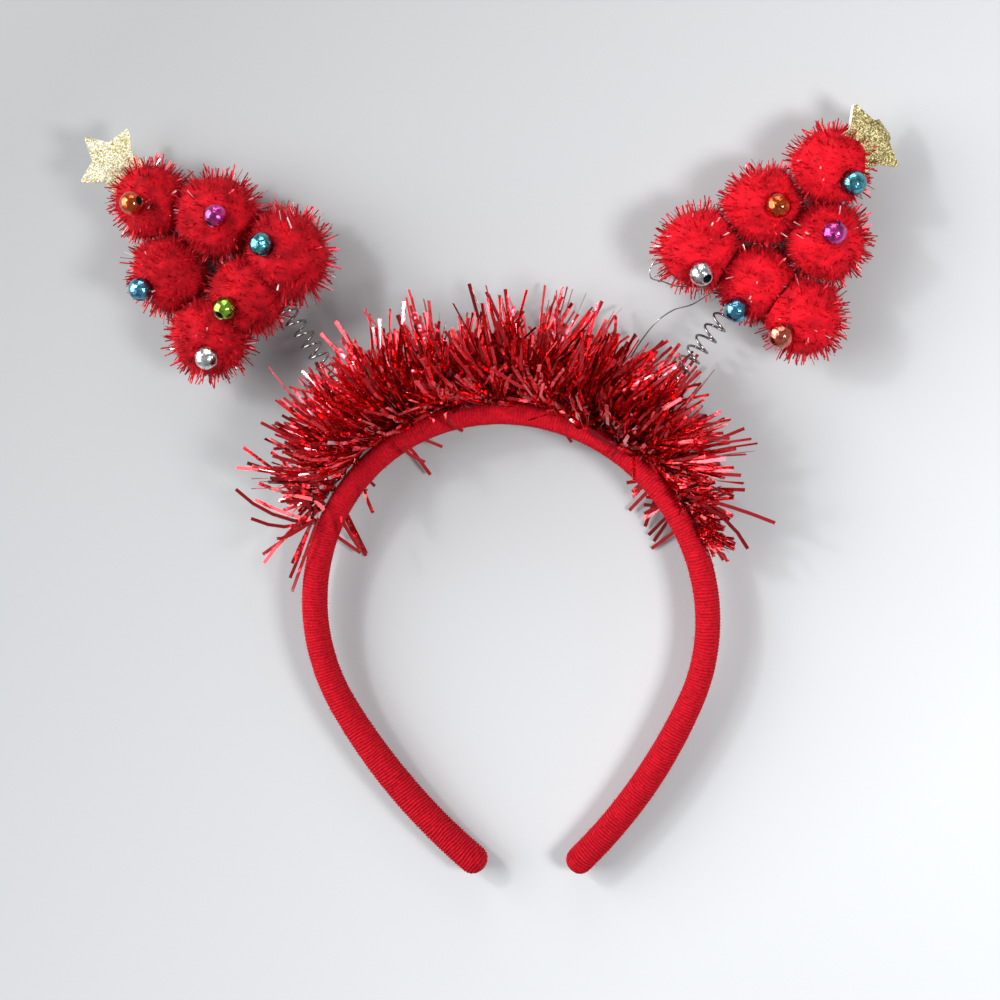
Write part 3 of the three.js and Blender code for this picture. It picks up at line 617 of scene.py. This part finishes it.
draw = np.random.default_rng(11)
loose = draw.uniform(size=(LOCKS, 1)) < LOOSE_SHARE  # short and crumpled, next to the core
lock_share = draw.uniform(0, 1, (LOCKS, 1))
moved = MOVED_LEFT * np.clip(1 - lock_share / THIN_LEFT, 0, 1) + MOVED_RIGHT * (lock_share > THIN_RIGHT)
moved = draw.uniform(size=(LOCKS, 1)) < moved
lock_share = np.where(moved, draw.uniform(THIN_LEFT, THIN_RIGHT, (LOCKS, 1)), lock_share)
lock_azimuth = draw.normal(LOCK_AZIMUTH, AZIMUTH_SPREAD, (LOCKS, 1))
lock_slew = draw.normal(0, SLEW_SPREAD, (LOCKS, 1))
short_reach = draw.uniform(*LOOSE_REACH, loose.shape)
long_reach = LEAST_REACH + (1 - LEAST_REACH) * draw.beta(1.3, 1.7, loose.shape)
lock_reach = np.where(loose, short_reach, long_reach)
many = (LOCKS, LOCK_STRIPS)
share = np.clip(lock_share + LOCK_WIDTH * draw.normal(size=many), 0, 1).ravel()
azimuth = (lock_azimuth + np.where(loose, *AZIMUTH_SPLAY) * draw.normal(size=many)).ravel()
slew = (lock_slew + np.where(loose, *SLEW_SPLAY) * draw.normal(size=many)).ravel()
reach = (lock_reach * draw.uniform(*STRIP_REACH, many)).ravel()
bends = (np.where(loose, LOOSE_BEND, LOCK_BEND) * np.ones(many)).ravel()
count = share.size
azimuth_from = np.clip(azimuth + BOW_AT_ROOT, MOST_BACK, MOST_FRONT)
azimuth_to = np.clip(azimuth + BOW_AT_TIP, MOST_BACK, MOST_FRONT_AT_TIP)
slew = np.radians(END_SPLAY * (2 * share - 1) ** 3 + slew)
shorter = np.clip((share - SHORTER_FROM) / (1 - SHORTER_FROM), 0, 1)
reach *= TINSEL_REACH * (1 - (1 - SHORTEST_LOCK) * shorter**2 * (3 - 2 * shorter))
reach *= 1 - SHORT_LEFT * np.clip(1 - share / THIN_LEFT, 0, 1)
stations = np.outer(share, [WAVES_RUN, 0, 0])
reach *= 1 + sum(part * waves(stations, pitch, seed) for part, pitch, seed in REACH_WAVES)
reach *= 1 - FORWARD_SHORTER * np.clip(np.abs(azimuth) / 90 - 0.5, 0, 1)

angle = np.radians(GARLAND_FROM + (GARLAND_TO - GARLAND_FROM) * share)
out = np.stack([np.sin(angle), np.cos(angle), 0 * angle], -1)
along = np.stack([np.cos(angle), -np.sin(angle), 0 * angle], -1)
front = np.array([0, 0, 1.0])
roots = on_crown(np.degrees(angle), core_circle, CORE_SET) + draw.normal(size=(count, 3)) * ROOT_SCATTER
lean = np.radians(np.stack([azimuth_from, azimuth_to]))[..., None]
start, ahead = (
    (out * np.cos(lean) + front * np.sin(lean)) * np.cos(slew)[:, None] + along * np.sin(slew)[:, None]
)
bend = unit(draw.normal(size=(count, 3))) * np.abs(draw.normal(0, 1, count) * bends)[:, None]
step = np.linspace(0, 1, STRIP_RINGS)[None, :, None]
paths = roots[:, None] + reach[:, None, None] * (
    start[:, None] * (step - step**2 / 2) + (ahead / 2 + bend)[:, None] * step**2
)
paths += draw.normal(size=paths.shape) * KINK * step * (1 - step) * 4
twist = draw.uniform(0, np.pi, (count, 1)) + draw.normal(0, TWIST_SPREAD, (count, 1)) * step[..., 0]
first = unit(np.cross(ahead, along + 0.3 * draw.normal(size=(count, 3))))
second = np.cross(ahead, first)
across = (
    first[:, None] * np.cos(twist)[..., None] + second[:, None] * np.sin(twist)[..., None]
) * (STRIP_WIDTH / 2) * draw.uniform(0.8, 1.05, (count, 1, 1))
tint = draw.beta(1.3, 1.4, count) * 0.95 + 0.14 * (draw.uniform(size=count) > 0.9)

# strips that hang behind the band and come out inside the arch
under = np.radians(np.concatenate([draw.uniform(*stretch) for stretch in UNDER_BAND]))
out = np.stack([np.sin(under), np.cos(under), 0 * under], -1)
along = np.stack([np.cos(under), -np.sin(under), 0 * under], -1)
drop = out * 0.1 - front * 0.8 + along * draw.normal(0, 0.2, (under.size, 1))
back_in = -out * 0.75 + front * 0.4 + along * draw.normal(0, 0.25, (under.size, 1))
span = draw.uniform(*UNDER_SPAN, (under.size, 1, 1))
inner = on_crown(np.degrees(under), core_circle, CORE_SET)[:, None]
inner = inner + span * (drop[:, None] * step + back_in[:, None] * step**2)

# strips that lie over the band or stand apart, one by one
table = np.array(STRAY_STRIPS)
apart = table[:, None, :3] * (1 - step) + table[:, None, 3:6] * step
apart = apart + draw.normal(0, STRAY_BOW, (len(table), 1, 3)) * step * (1 - step) * 4
paths = np.concatenate([paths, inner, apart])
more = len(inner) + len(apart)
flat = unit(draw.normal(size=(more, 1, 3)) * [0.4, 0.4, 0.1] + np.cross(
    unit(paths[count:, -1] - paths[count:, 0]), front)[:, None])
across = np.concatenate([across, np.repeat(flat, STRIP_RINGS, 1) * STRIP_WIDTH / 2])
tint = np.concatenate([np.clip(tint, 0, 1), draw.uniform(0.1, 0.7, len(inner)), table[:, 6]])

on_table = onto_table(paths) / MM
rise = on_table - on_table[:, :1]
room = (GARLAND_TOP - on_table[:, 0, 2]) / np.maximum(rise[..., 2].max(1), 0.1)
on_table = on_table[:, :1] + rise * np.minimum(room, 1)[:, None, None]
on_table[..., 2] = np.maximum(on_table[..., 2], GARLAND_FLOOR)
points, faces = strips(on_table, across, STRIP_THICKNESS)
points[:, 2] = np.maximum(points[:, 2], STRIP_FLOOR)
# the strips' tint darkens towards the root: painted shade
garland = made(
    "tinsel_garland_strips", points * MM, faces, film_finish, smooth=False,
    tint=np.repeat(tint[:, None] * (1 - ROOT_SHADE + ROOT_SHADE * step[..., 0] ** 0.7), 4),
)
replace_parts(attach(garland, "root"), "tinsel_garland")

# The core wires are steel; their near-black colour is painted shade, standing for the shade line between
# the band and the garland.
core_finish, sockets, place = finish("core_steel_painted_shade", {
    "Base Color": (0.03, 0.012, 0.012, 1), "Metallic": 0.6, "Roughness": 0.5,
})
length = np.linspace(0, 1, CORE_STEPS)
angle = GARLAND_FROM + (GARLAND_TO - GARLAND_FROM) * length
run = np.radians(angle) * core_circle
for strand_name, start in (("first", 0), ("second", np.pi)):
    turn = 2 * np.pi * run / CORE_TWIST + start
    path = on_crown(angle, core_circle + CORE_APART * np.cos(turn), CORE_SET + CORE_APART * np.sin(turn))
    points, faces = tube(path, CORE_SIDES, CORE_WIRE, np.array([0, 0, 1.0]))
    wire = made(f"garland_core_{strand_name}", onto_table(points), faces, core_finish)
    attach(wire, "root")


# Pompoms. Balls of dense red synthetic fuzz with a thin fringe of tinsel spun in, glued to
# each other as a tree: three below, two above them and one on top.
POMPOM_CORE = 11.5
BEAD_RADIUS, BEAD_STAND = 4, 1.4
BALL_RINGS, BALL_SIDES = 30, 48
BALL_SHARE = 0.945  # of the pompom's core radius
BALL_UNEVEN, FUZZ_UNEVEN, FUZZ_RAGGED = 0.035, 0.05, 0.04  # of the core radius
BALL_MERGING, FUZZ_MERGING, FRINGE_MERGING = 0.1, 0.2, 0.08
FUZZ_FIBRES = 7200
FUZZ_WIDTHS = (0.1, 0.2)
FUZZ_SWAY, FUZZ_STRAY = 0.16, 0.06  # how far tufts and single fibres lean
FUZZ_SHORTEST = 1.5
BALL_GAP, FUZZ_GAP, FRINGE_PAST = 0.4, 0.1, 0.4  # mm before or past the plane to a neighbour
BALL_BEAD_GAP, FIBRE_BEAD_GAP = 0.15, 0.1
FUZZ_ROOT, FUZZ_TIP = 0.8, 1.01  # shares of the core radius
# The second value is painted shade: the fuzz is coloured darker at the ball and the fibres' roots than at
# their tips. The first is a random spread of each fibre's own tone.
SHADE_SPREAD, BALL_DEPTH_SHADE = 0.34, 0.4
FRINGE_STRIPS = 520
FRINGE_WIDTH, FRINGE_STRAY = 0.5, 0.2
FRINGE_ROOT, FRINGE_TIP, FRINGE_SPREAD = 0.6, 1.02, 0.06
FRINGE_FRONT_SHORTER = 0.13
FRINGE_BOW = 0.35
POMPOM_FLOOR, FRINGE_FLOOR = 0.15, 0.05  # mm above the table

fuzz_finish, sockets, place = finish("red_fuzz", {
    "Roughness": 0.85, "Specular IOR Level": 0.15,
    "Sheen Weight": 0.15, "Sheen Roughness": 0.3, "Sheen Tint": (1, 0.15, 0.2, 1),
})
# The fuzz's colour: painted shade, darker deep in the fuzz at the ball and the fibres' roots and lighter at
# their tips, and darker over the whole left tree; the noise is the fuzz's own mottled tone.
depth = place.attribute("depth")
feed(sockets["Base Color"], (depth * 0.65 + place.noise(0.22, 4) * 1.1 - 0.3).tinted(
    (0.17, 0.0, 0.003, 1), (0.92, 0.006, 0.022, 1),
))
feed(sockets["Normal"], (place.noise(2.4, 3) + place.noise(0.3, 2) * 2.0).bump(0.2))

fringe_finish, sockets, place = finish("fringe_film", {
    "Metallic": 0.55, "Roughness": 0.35, "Coat Weight": 0.15, "Coat Roughness": 0.08,
})
feed(sockets["Base Color"], place.node("ShaderNodeValToRGB", {"stops": [
    (0.0, (0.26, 0.001, 0.005, 1)), (0.5, (0.56, 0.005, 0.015, 1)),
    (0.9, (0.90, 0.02, 0.045, 1)), (0.96, (0.95, 0.55, 0.58, 1)), (1.0, (0.95, 0.92, 0.94, 1)),
]}, {0: place.attribute("tint")}))


def spread(count, draw):
    """Ways spread evenly over a sphere along a spiral, each strayed a little."""
    k = np.arange(count) + 0.5
    polar, turn = np.arccos(1 - 2 * k / count), np.pi * (1 + 5**0.5) * k
    ways = np.stack([np.cos(turn) * np.sin(polar), np.sin(turn) * np.sin(polar), np.cos(polar)], -1)
    return unit(ways + draw.normal(size=ways.shape) * 1.6 / math.sqrt(count))


def room_ahead(ways, centre, size, others):
    """How far each way from a pompom's centre runs before the middle planes to its neighbours."""
    limit = np.full(len(ways), 100.0)
    for other, other_size in others:
        run = other - centre
        cut = np.linalg.norm(run) * size / (size + other_size)
        facing = ways @ unit(run)
        limit = np.minimum(limit, np.where(facing > 0.05, cut / np.maximum(facing, 0.05), 100))
    return limit


def merging(ways, centre, others):
    """How much further the fuzz stands towards its neighbours, so that it closes the room
    between them: 0 away from them, 1 straight at one."""
    near = np.max([ways @ unit(other - centre) for other, _ in others if np.linalg.norm(
        other - centre) < 2.6 * POMPOM_RADIUS], axis=0)
    near = np.clip((near - 0.5) / 0.35, 0, 1)
    return near**2 * (3 - 2 * near)


def before_ball(roots, tips, centre, radius):
    """The share of each fibre before it enters a ball: where |root + t (tip - root) - centre|
    first equals the radius, 1 where it never does, and 0 where the root is inside."""
    run, gap = tips - roots, roots - centre
    a, b = np.sum(run * run, -1), np.sum(run * gap, -1)
    c = np.sum(gap * gap, -1) - radius**2
    inside = b * b - a * c
    enter = (-b - np.sqrt(np.maximum(inside, 0))) / a
    share = np.where((inside > 0) & (enter > 0) & (enter < 1), enter, 1)
    return np.where(c < 0, 0, share)


for side_name, tree in TREES.items():
    foot, end, origin, turn = tree_frame(tree)
    middles = np.array([[x, y, size] for x, y, size, *_ in tree["pompoms"]]) * POMPOM_RADIUS
    sizes = [row[2] for row in tree["pompoms"]]
    tree["middles"] = middles @ turn.T + origin
    tree["bead_places"] = np.array([
        middle + turn @ way(towards, slant) * (POMPOM_CORE * size + BEAD_STAND)
        for middle, size, (towards, slant, *_) in zip(tree["middles"], sizes, tree["beads"])
    ])
    for i, (middle, (_, _, size, stretch, towards)) in enumerate(zip(tree["middles"], tree["pompoms"])):
        draw = np.random.default_rng(100 + i + 10 * (side_name == "right"))
        others = [(m, s) for j, (m, s) in enumerate(zip(tree["middles"], sizes)) if j != i]
        long_way = turn @ way(towards)

        def long(ways):
            """Ways drawn out along the pompom's longer way, for one that isn't round."""
            return ways + np.outer(ways @ long_way, long_way) * (stretch - 1)

        def trimmed(roots, tips):
            """Shortened to end before the beads and the table."""
            share = np.ones(len(roots))
            for bead in tree["bead_places"]:
                share = np.minimum(share, before_ball(roots, tips, bead, BEAD_RADIUS + FIBRE_BEAD_GAP))
            drop = (roots[:, 2] - POMPOM_FLOOR) / np.maximum(roots[:, 2] - tips[:, 2], 1e-6)
            share = np.where(tips[:, 2] < POMPOM_FLOOR, np.minimum(share, drop), share)
            kept = share > 0.25
            return roots[kept], (roots + (tips - roots) * share[:, None])[kept]

        # the ball that the fibres stand on
        polar = np.linspace(0.04, np.pi - 0.04, BALL_RINGS)[:, None]
        round_it = np.linspace(0, 2 * np.pi, BALL_SIDES, endpoint=False)[None]
        ways = np.stack([
            np.sin(polar) * np.cos(round_it), np.sin(polar) * np.sin(round_it),
            np.cos(polar) * np.ones_like(round_it),
        ], -1).reshape(-1, 3)
        radius = POMPOM_CORE * size * (
            BALL_SHARE + BALL_UNEVEN * waves(ways, 0.5, i) + BALL_MERGING * merging(ways, middle, others)
        )
        ball = long(ways) * radius[:, None]
        limit = room_ahead(unit(ball), middle, size, others) - BALL_GAP
        ball = unit(ball) * np.minimum(np.linalg.norm(ball, axis=1), limit)[:, None]
        for bead in tree["bead_places"]:
            clear = BEAD_RADIUS + BALL_BEAD_GAP
            share = before_ball(np.zeros_like(ball) + middle, middle + ball, bead, clear)
            ball *= share[:, None]
        points, faces = skin((middle + ball).reshape(BALL_RINGS, BALL_SIDES, 3))
        values = np.full(len(points), BALL_DEPTH_SHADE + tree["painted_tree_shade"])

        # the fuzz
        ways = spread(FUZZ_FIBRES, draw)
        sway = np.stack([waves(ways, 0.55, 7 * i + k) for k in range(3)], -1)
        closer = merging(ways, middle, others)
        reach = POMPOM_CORE * size * (
            FUZZ_TIP + FUZZ_MERGING * closer + FUZZ_UNEVEN * waves(ways, 0.35, 50 + i)
            + FUZZ_RAGGED * draw.normal(size=len(ways))
        )
        begin = POMPOM_CORE * size * (FUZZ_ROOT + 0.1 * closer)
        tip_ways = unit(ways + FUZZ_SWAY * sway + FUZZ_STRAY * draw.normal(size=ways.shape))
        limit = room_ahead(tip_ways, middle, size, others) - FUZZ_GAP
        roots = middle + long(ways) * np.minimum(begin, limit - FUZZ_SHORTEST)[:, None]
        tips = middle + long(tip_ways) * np.minimum(reach, limit)[:, None]
        roots, tips = trimmed(roots, tips)
        more, more_faces = spikes(roots, tips, draw.uniform(*FUZZ_WIDTHS, len(roots)), draw)
        shade = tree["painted_tree_shade"] + draw.normal(0, SHADE_SPREAD, len(roots))
        # points at the fibres' roots get the ball's painted shade, their tips none
        fibre_tones_and_shades = np.stack([BALL_DEPTH_SHADE + shade] * 3 + [1.0 + shade], -1).ravel()
        faces = np.concatenate([faces, more_faces + len(points)])
        points = np.concatenate([points, more])
        values = np.concatenate([values, fibre_tones_and_shades])
        ball_piece = made(f"{side_name}_pompom_{i + 1}_fuzz", points * MM, faces, fuzz_finish, depth=values)
        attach(ball_piece, "root")
        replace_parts(ball_piece, f"{side_name}_pompom_{i + 1}")

        # the fringe of tinsel
        ways = spread(FRINGE_STRIPS, draw)
        tip_ways = unit(ways + FRINGE_STRAY * draw.normal(size=ways.shape))
        reach = POMPOM_RADIUS * size * np.clip(draw.normal(FRINGE_TIP, FRINGE_SPREAD, len(ways)), 0.7, 1.12)
        reach *= (
            1 - FRINGE_FRONT_SHORTER * np.maximum(ways[:, 2], 0)
            + FRINGE_MERGING * merging(ways, middle, others)
        )
        limit = room_ahead(tip_ways, middle, size, others) + FRINGE_PAST
        roots = middle + long(ways) * (POMPOM_CORE * size * FRINGE_ROOT)
        tips = middle + long(tip_ways) * np.minimum(reach, limit)[:, None]
        roots, tips = trimmed(roots, tips)
        step = np.linspace(0, 1, 3)[None, :, None]
        bow = draw.normal(size=roots.shape) * FRINGE_BOW
        paths = roots[:, None] + (tips - roots)[:, None] * step + bow[:, None] * (step * (1 - step)) * 2
        flat = unit(np.cross(tips - roots, draw.normal(size=roots.shape)))
        across = np.repeat(flat[:, None], 3, 1) * FRINGE_WIDTH / 2
        across = across * draw.uniform(0.7, 1.1, (len(roots), 1, 1))
        points, faces = strips(paths, across, STRIP_THICKNESS)
        points[:, 2] = np.maximum(points[:, 2], FRINGE_FLOOR)
        tint = draw.beta(1.6, 2, len(roots)) * 0.9
        tint = np.clip(tint + 0.5 * (draw.uniform(size=len(roots)) > 0.96), 0, 1)
        fringe = made(
            f"{side_name}_pompom_{i + 1}_fringe", points * MM, faces, fringe_finish, smooth=False,
            tint=np.repeat(tint, 12),
        )
        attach(fringe, "root")


# Beads. Moulded plastic balls, 8 mm across and drilled through, coated with bright metal in
# different colours. One is glued to each pompom, and its coat is a little uneven.
BEAD_BORE = 1.6
BEAD_STEPS, BEAD_SIDES = 26, 44
BORE_HEIGHTS, BORE_SHARE = [0.9, 0, -0.9], 0.96  # the bore's rings, as shares of the rim's
DENT, DENT_PITCH = 0.05, 3.0
BEAD_COLOURS = {
    "orange": (0.85, 0.10, 0.012, 1), "magenta": (0.76, 0.05, 0.36, 1),
    "teal": (0.10, 0.48, 0.60, 1), "blue": (0.11, 0.42, 0.66, 1),
    "green": (0.38, 0.70, 0.06, 1), "silver": (0.94, 0.94, 0.94, 1),
    "copper": (0.85, 0.17, 0.11, 1),
}
bead_finishes = {}
for colour_name, colour in BEAD_COLOURS.items():
    coat, sockets, place = finish(f"{colour_name}_coat", {
        "Coat Weight": 0.6, "Coat Roughness": 0.05,
    })
    # Inside the bore the metal coat stops, so it is not metallic and is rougher; its near-black colour is
    # painted shade in the hole.
    inner = place.attribute("bore")
    crackle = place.noise(0.55, 4).between(0.35, 0.65)
    dark = tuple(0.4 * c for c in colour[:3]) + (1,)
    feed(sockets["Base Color"], inner.tinted(crackle.tinted(dark, colour), (0.004, 0.004, 0.004, 1)))
    feed(sockets["Metallic"], 1 - inner)
    feed(sockets["Roughness"], place.noise(1.0).between(0.3, 0.7) * 0.18 + 0.1 + inner * 0.6)
    feed(sockets["Normal"], place.noise(0.42, 2).bump(0.55))
    bead_finishes[colour_name] = coat

rim = math.acos(BEAD_BORE / BEAD_RADIUS)
for side_name, tree in TREES.items():
    foot, end, origin, turn = tree_frame(tree)
    for i, (bead_place, (_, _, bore, slant, colour_name)) in enumerate(
        zip(tree["bead_places"], tree["beads"])
    ):
        rise = np.concatenate([
            np.linspace(-rim, rim, BEAD_STEPS), [rim] * len(BORE_HEIGHTS),
        ])
        radius = BEAD_RADIUS * np.cos(rise)
        height = BEAD_RADIUS * np.sin(rise)
        height[BEAD_STEPS:] *= BORE_HEIGHTS
        radius[BEAD_STEPS:] *= BORE_SHARE
        axis = turn @ way(bore, slant)
        side = unit(np.cross(axis, [0.3, 0.2, 1.0]))
        up = np.cross(axis, side)
        angle = np.linspace(0, 2 * np.pi, BEAD_SIDES, endpoint=False)
        ring_ways = np.cos(angle)[:, None] * side + np.sin(angle)[:, None] * up
        rings = (
            bead_place + radius[:, None, None] * ring_ways[None] + height[:, None, None] * axis
        )
        dents = DENT * waves(rings - bead_place, DENT_PITCH, 40 + i)
        rings = rings + unit(rings - bead_place) * dents[..., None]
        points, faces = skin(rings, joined=True)
        # the bore's rings, which take the painted shade
        inner = np.repeat((np.arange(len(rise)) >= BEAD_STEPS).astype(float), BEAD_SIDES)
        bead = made(
            f"{side_name}_bead_{i + 1}_coated", points * MM, faces, bead_finishes[colour_name], bore=inner,
        )
        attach(bead, "root")
        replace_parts(bead, f"{side_name}_bead_{i + 1}")


# Stars. Punched from 2 mm foam sheet with gold glitter glued over its face, and stuck behind
# each top pompom. The foam's cream edge shows, and one star has a tip bent back.
STAR_RADIUS, STAR_WAIST, STAR_TIP, STAR_THICKNESS = 12.6, 7.2, 0.9, 2
STAR_RISE = 0.5
CURL_START, CURL_RADIUS = 5, 2.6
STAR_RINGS = 14
EDGE_POINTS = 12  # between a tip and the next inner corner
EDGE_CROWDING, EDGE_ROUNDING = 1.8, 0.75
FLAKES = 2400
FLAKE_WIDTHS = (0.12, 0.24)

glitter_finish, sockets, place = finish("gold_glitter", {"Coat Weight": 0.2})
cells = place.node("ShaderNodeTexVoronoi", {}, {"Vector": place, "Scale": 2.6 / MM}, 1)
grain = place.node("ShaderNodeSeparateColor", {}, {0: cells})
face = place.attribute("face")
# Each star's own value shifts the gold ramp: painted light, the left star lighter and the right one darker,
# as they are lit.
gold = place.node("ShaderNodeValToRGB", {"stops": [
    (0.0, (0.16, 0.12, 0.03, 1)), (0.35, (0.50, 0.42, 0.17, 1)), (0.7, (0.78, 0.73, 0.47, 1)),
    (1.0, (0.98, 0.98, 0.90, 1)),
]}, {0: grain * 0.95 + place.attribute("pale") - 0.04})
feed(sockets["Base Color"], face.tinted((0.86, 0.80, 0.62, 1), gold))
feed(sockets["Metallic"], face * 0.45)
feed(sockets["Roughness"], 0.75 - face * 0.25)
feed(sockets["Normal"], (grain * face).bump(0.35))


def star_plate(share, angle, height, curl):
    """A point of the plate: a share of the outline's radius at an angle. The outline runs
    straight from tip to inner corner, with a small circle at each tip. A curled tip is bent
    back round a cylinder."""
    part = np.pi / 5
    off = np.abs((angle + part) % (2 * part) - part)  # from the nearest tip
    slope = math.atan2(
        STAR_WAIST * math.sin(part), STAR_RADIUS + STAR_TIP - STAR_WAIST * math.cos(part),
    )
    sharp = STAR_RADIUS - STAR_TIP + STAR_TIP / math.sin(slope)
    edge = STAR_WAIST * sharp * math.sin(part) / (
        STAR_WAIST * np.sin(part - off) + sharp * np.sin(off)
    )
    middle = STAR_RADIUS - STAR_TIP
    over = STAR_TIP**2 - (middle * np.sin(off)) ** 2
    circle = middle * np.cos(off) + np.sqrt(np.maximum(over, 0))
    radius = share * np.where(over > 0, np.minimum(edge, circle), edge)
    x, y = radius * np.sin(angle), radius * np.cos(angle)
    bent = np.maximum(y - CURL_START, 0) / CURL_RADIUS * curl
    arm = CURL_RADIUS + height
    flat = bent == 0
    return np.stack([
        x, np.where(flat, y, CURL_START + arm * np.sin(bent)),
        np.where(flat, height, arm * np.cos(bent) - CURL_RADIUS),
    ], -1)


for side_name, tree in TREES.items():
    foot, end, origin, turn = tree_frame(tree)
    star = tree["star"]
    draw = np.random.default_rng(31 + star["curl"])
    off = np.linspace(-1, 1, 2 * EDGE_POINTS, endpoint=False)  # crowded towards each tip
    off = np.pi / 5 * np.sign(off) * np.abs(off) ** EDGE_CROWDING
    angle = (2 * np.pi / 5 * np.arange(5)[:, None] + off).reshape(1, -1)
    share = np.linspace(0.02, 0.985, STAR_RINGS)
    half = STAR_THICKNESS / 2
    shares = np.concatenate([share, [1, 1], share[::-1]])[:, None]
    edge = [EDGE_ROUNDING * half, -EDGE_ROUNDING * half]
    heights = np.concatenate([np.full(STAR_RINGS, half), edge, np.full(STAR_RINGS, -half)])[:, None]
    rings = star_plate(shares, angle, heights, star["curl"])
    points, faces = skin(rings)
    front_face = np.concatenate([np.repeat(np.arange(len(shares)) < STAR_RINGS, angle.size), [1, 0]])

    flake_angle, flake_share = draw.uniform(0, 2 * np.pi, FLAKES), np.sqrt(draw.uniform(0, 0.97, FLAKES))
    base = star_plate(flake_share, flake_angle, np.full(FLAKES, half - 0.05), star["curl"])
    top = star_plate(flake_share, flake_angle, np.full(FLAKES, half + 0.1), star["curl"])
    flakes, flake_faces = spikes(
        base, top + draw.normal(size=top.shape) * 0.1, draw.uniform(*FLAKE_WIDTHS, FLAKES), draw,
    )
    faces = np.concatenate([faces, flake_faces + len(points)])
    points = np.concatenate([points, flakes])
    front_face = np.concatenate([front_face, np.ones(len(flakes))])

    spun = np.radians(-star["turn"])
    spin = np.array([[np.cos(spun), -np.sin(spun), 0], [np.sin(spun), np.cos(spun), 0], [0, 0, 1]])
    normal = way(star["towards"], star["slant"])
    axis = np.cross([0, 0, 1], normal)
    tilt = np.array(Matrix.Rotation(np.radians(star["slant"]), 3, axis.tolist()))
    top_middle = np.array([*tree["pompoms"][0][:2], tree["pompoms"][0][2]]) * POMPOM_RADIUS
    place_at = top_middle + [star["across"] * POMPOM_RADIUS, star["along"] * POMPOM_RADIUS, STAR_RISE]
    points = (points @ spin.T @ tilt.T + place_at) @ turn.T + origin
    plate = made(
        f"{side_name}_star_glitter", points * MM, faces, glitter_finish, smooth=False, face=front_face,
        pale=np.full(len(points), star["pale"]),
    )
    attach(plate, "root")
    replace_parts(plate, f"{side_name}_star")

corners = [[list(corner) for corner in box] for box in (cad_box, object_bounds())]
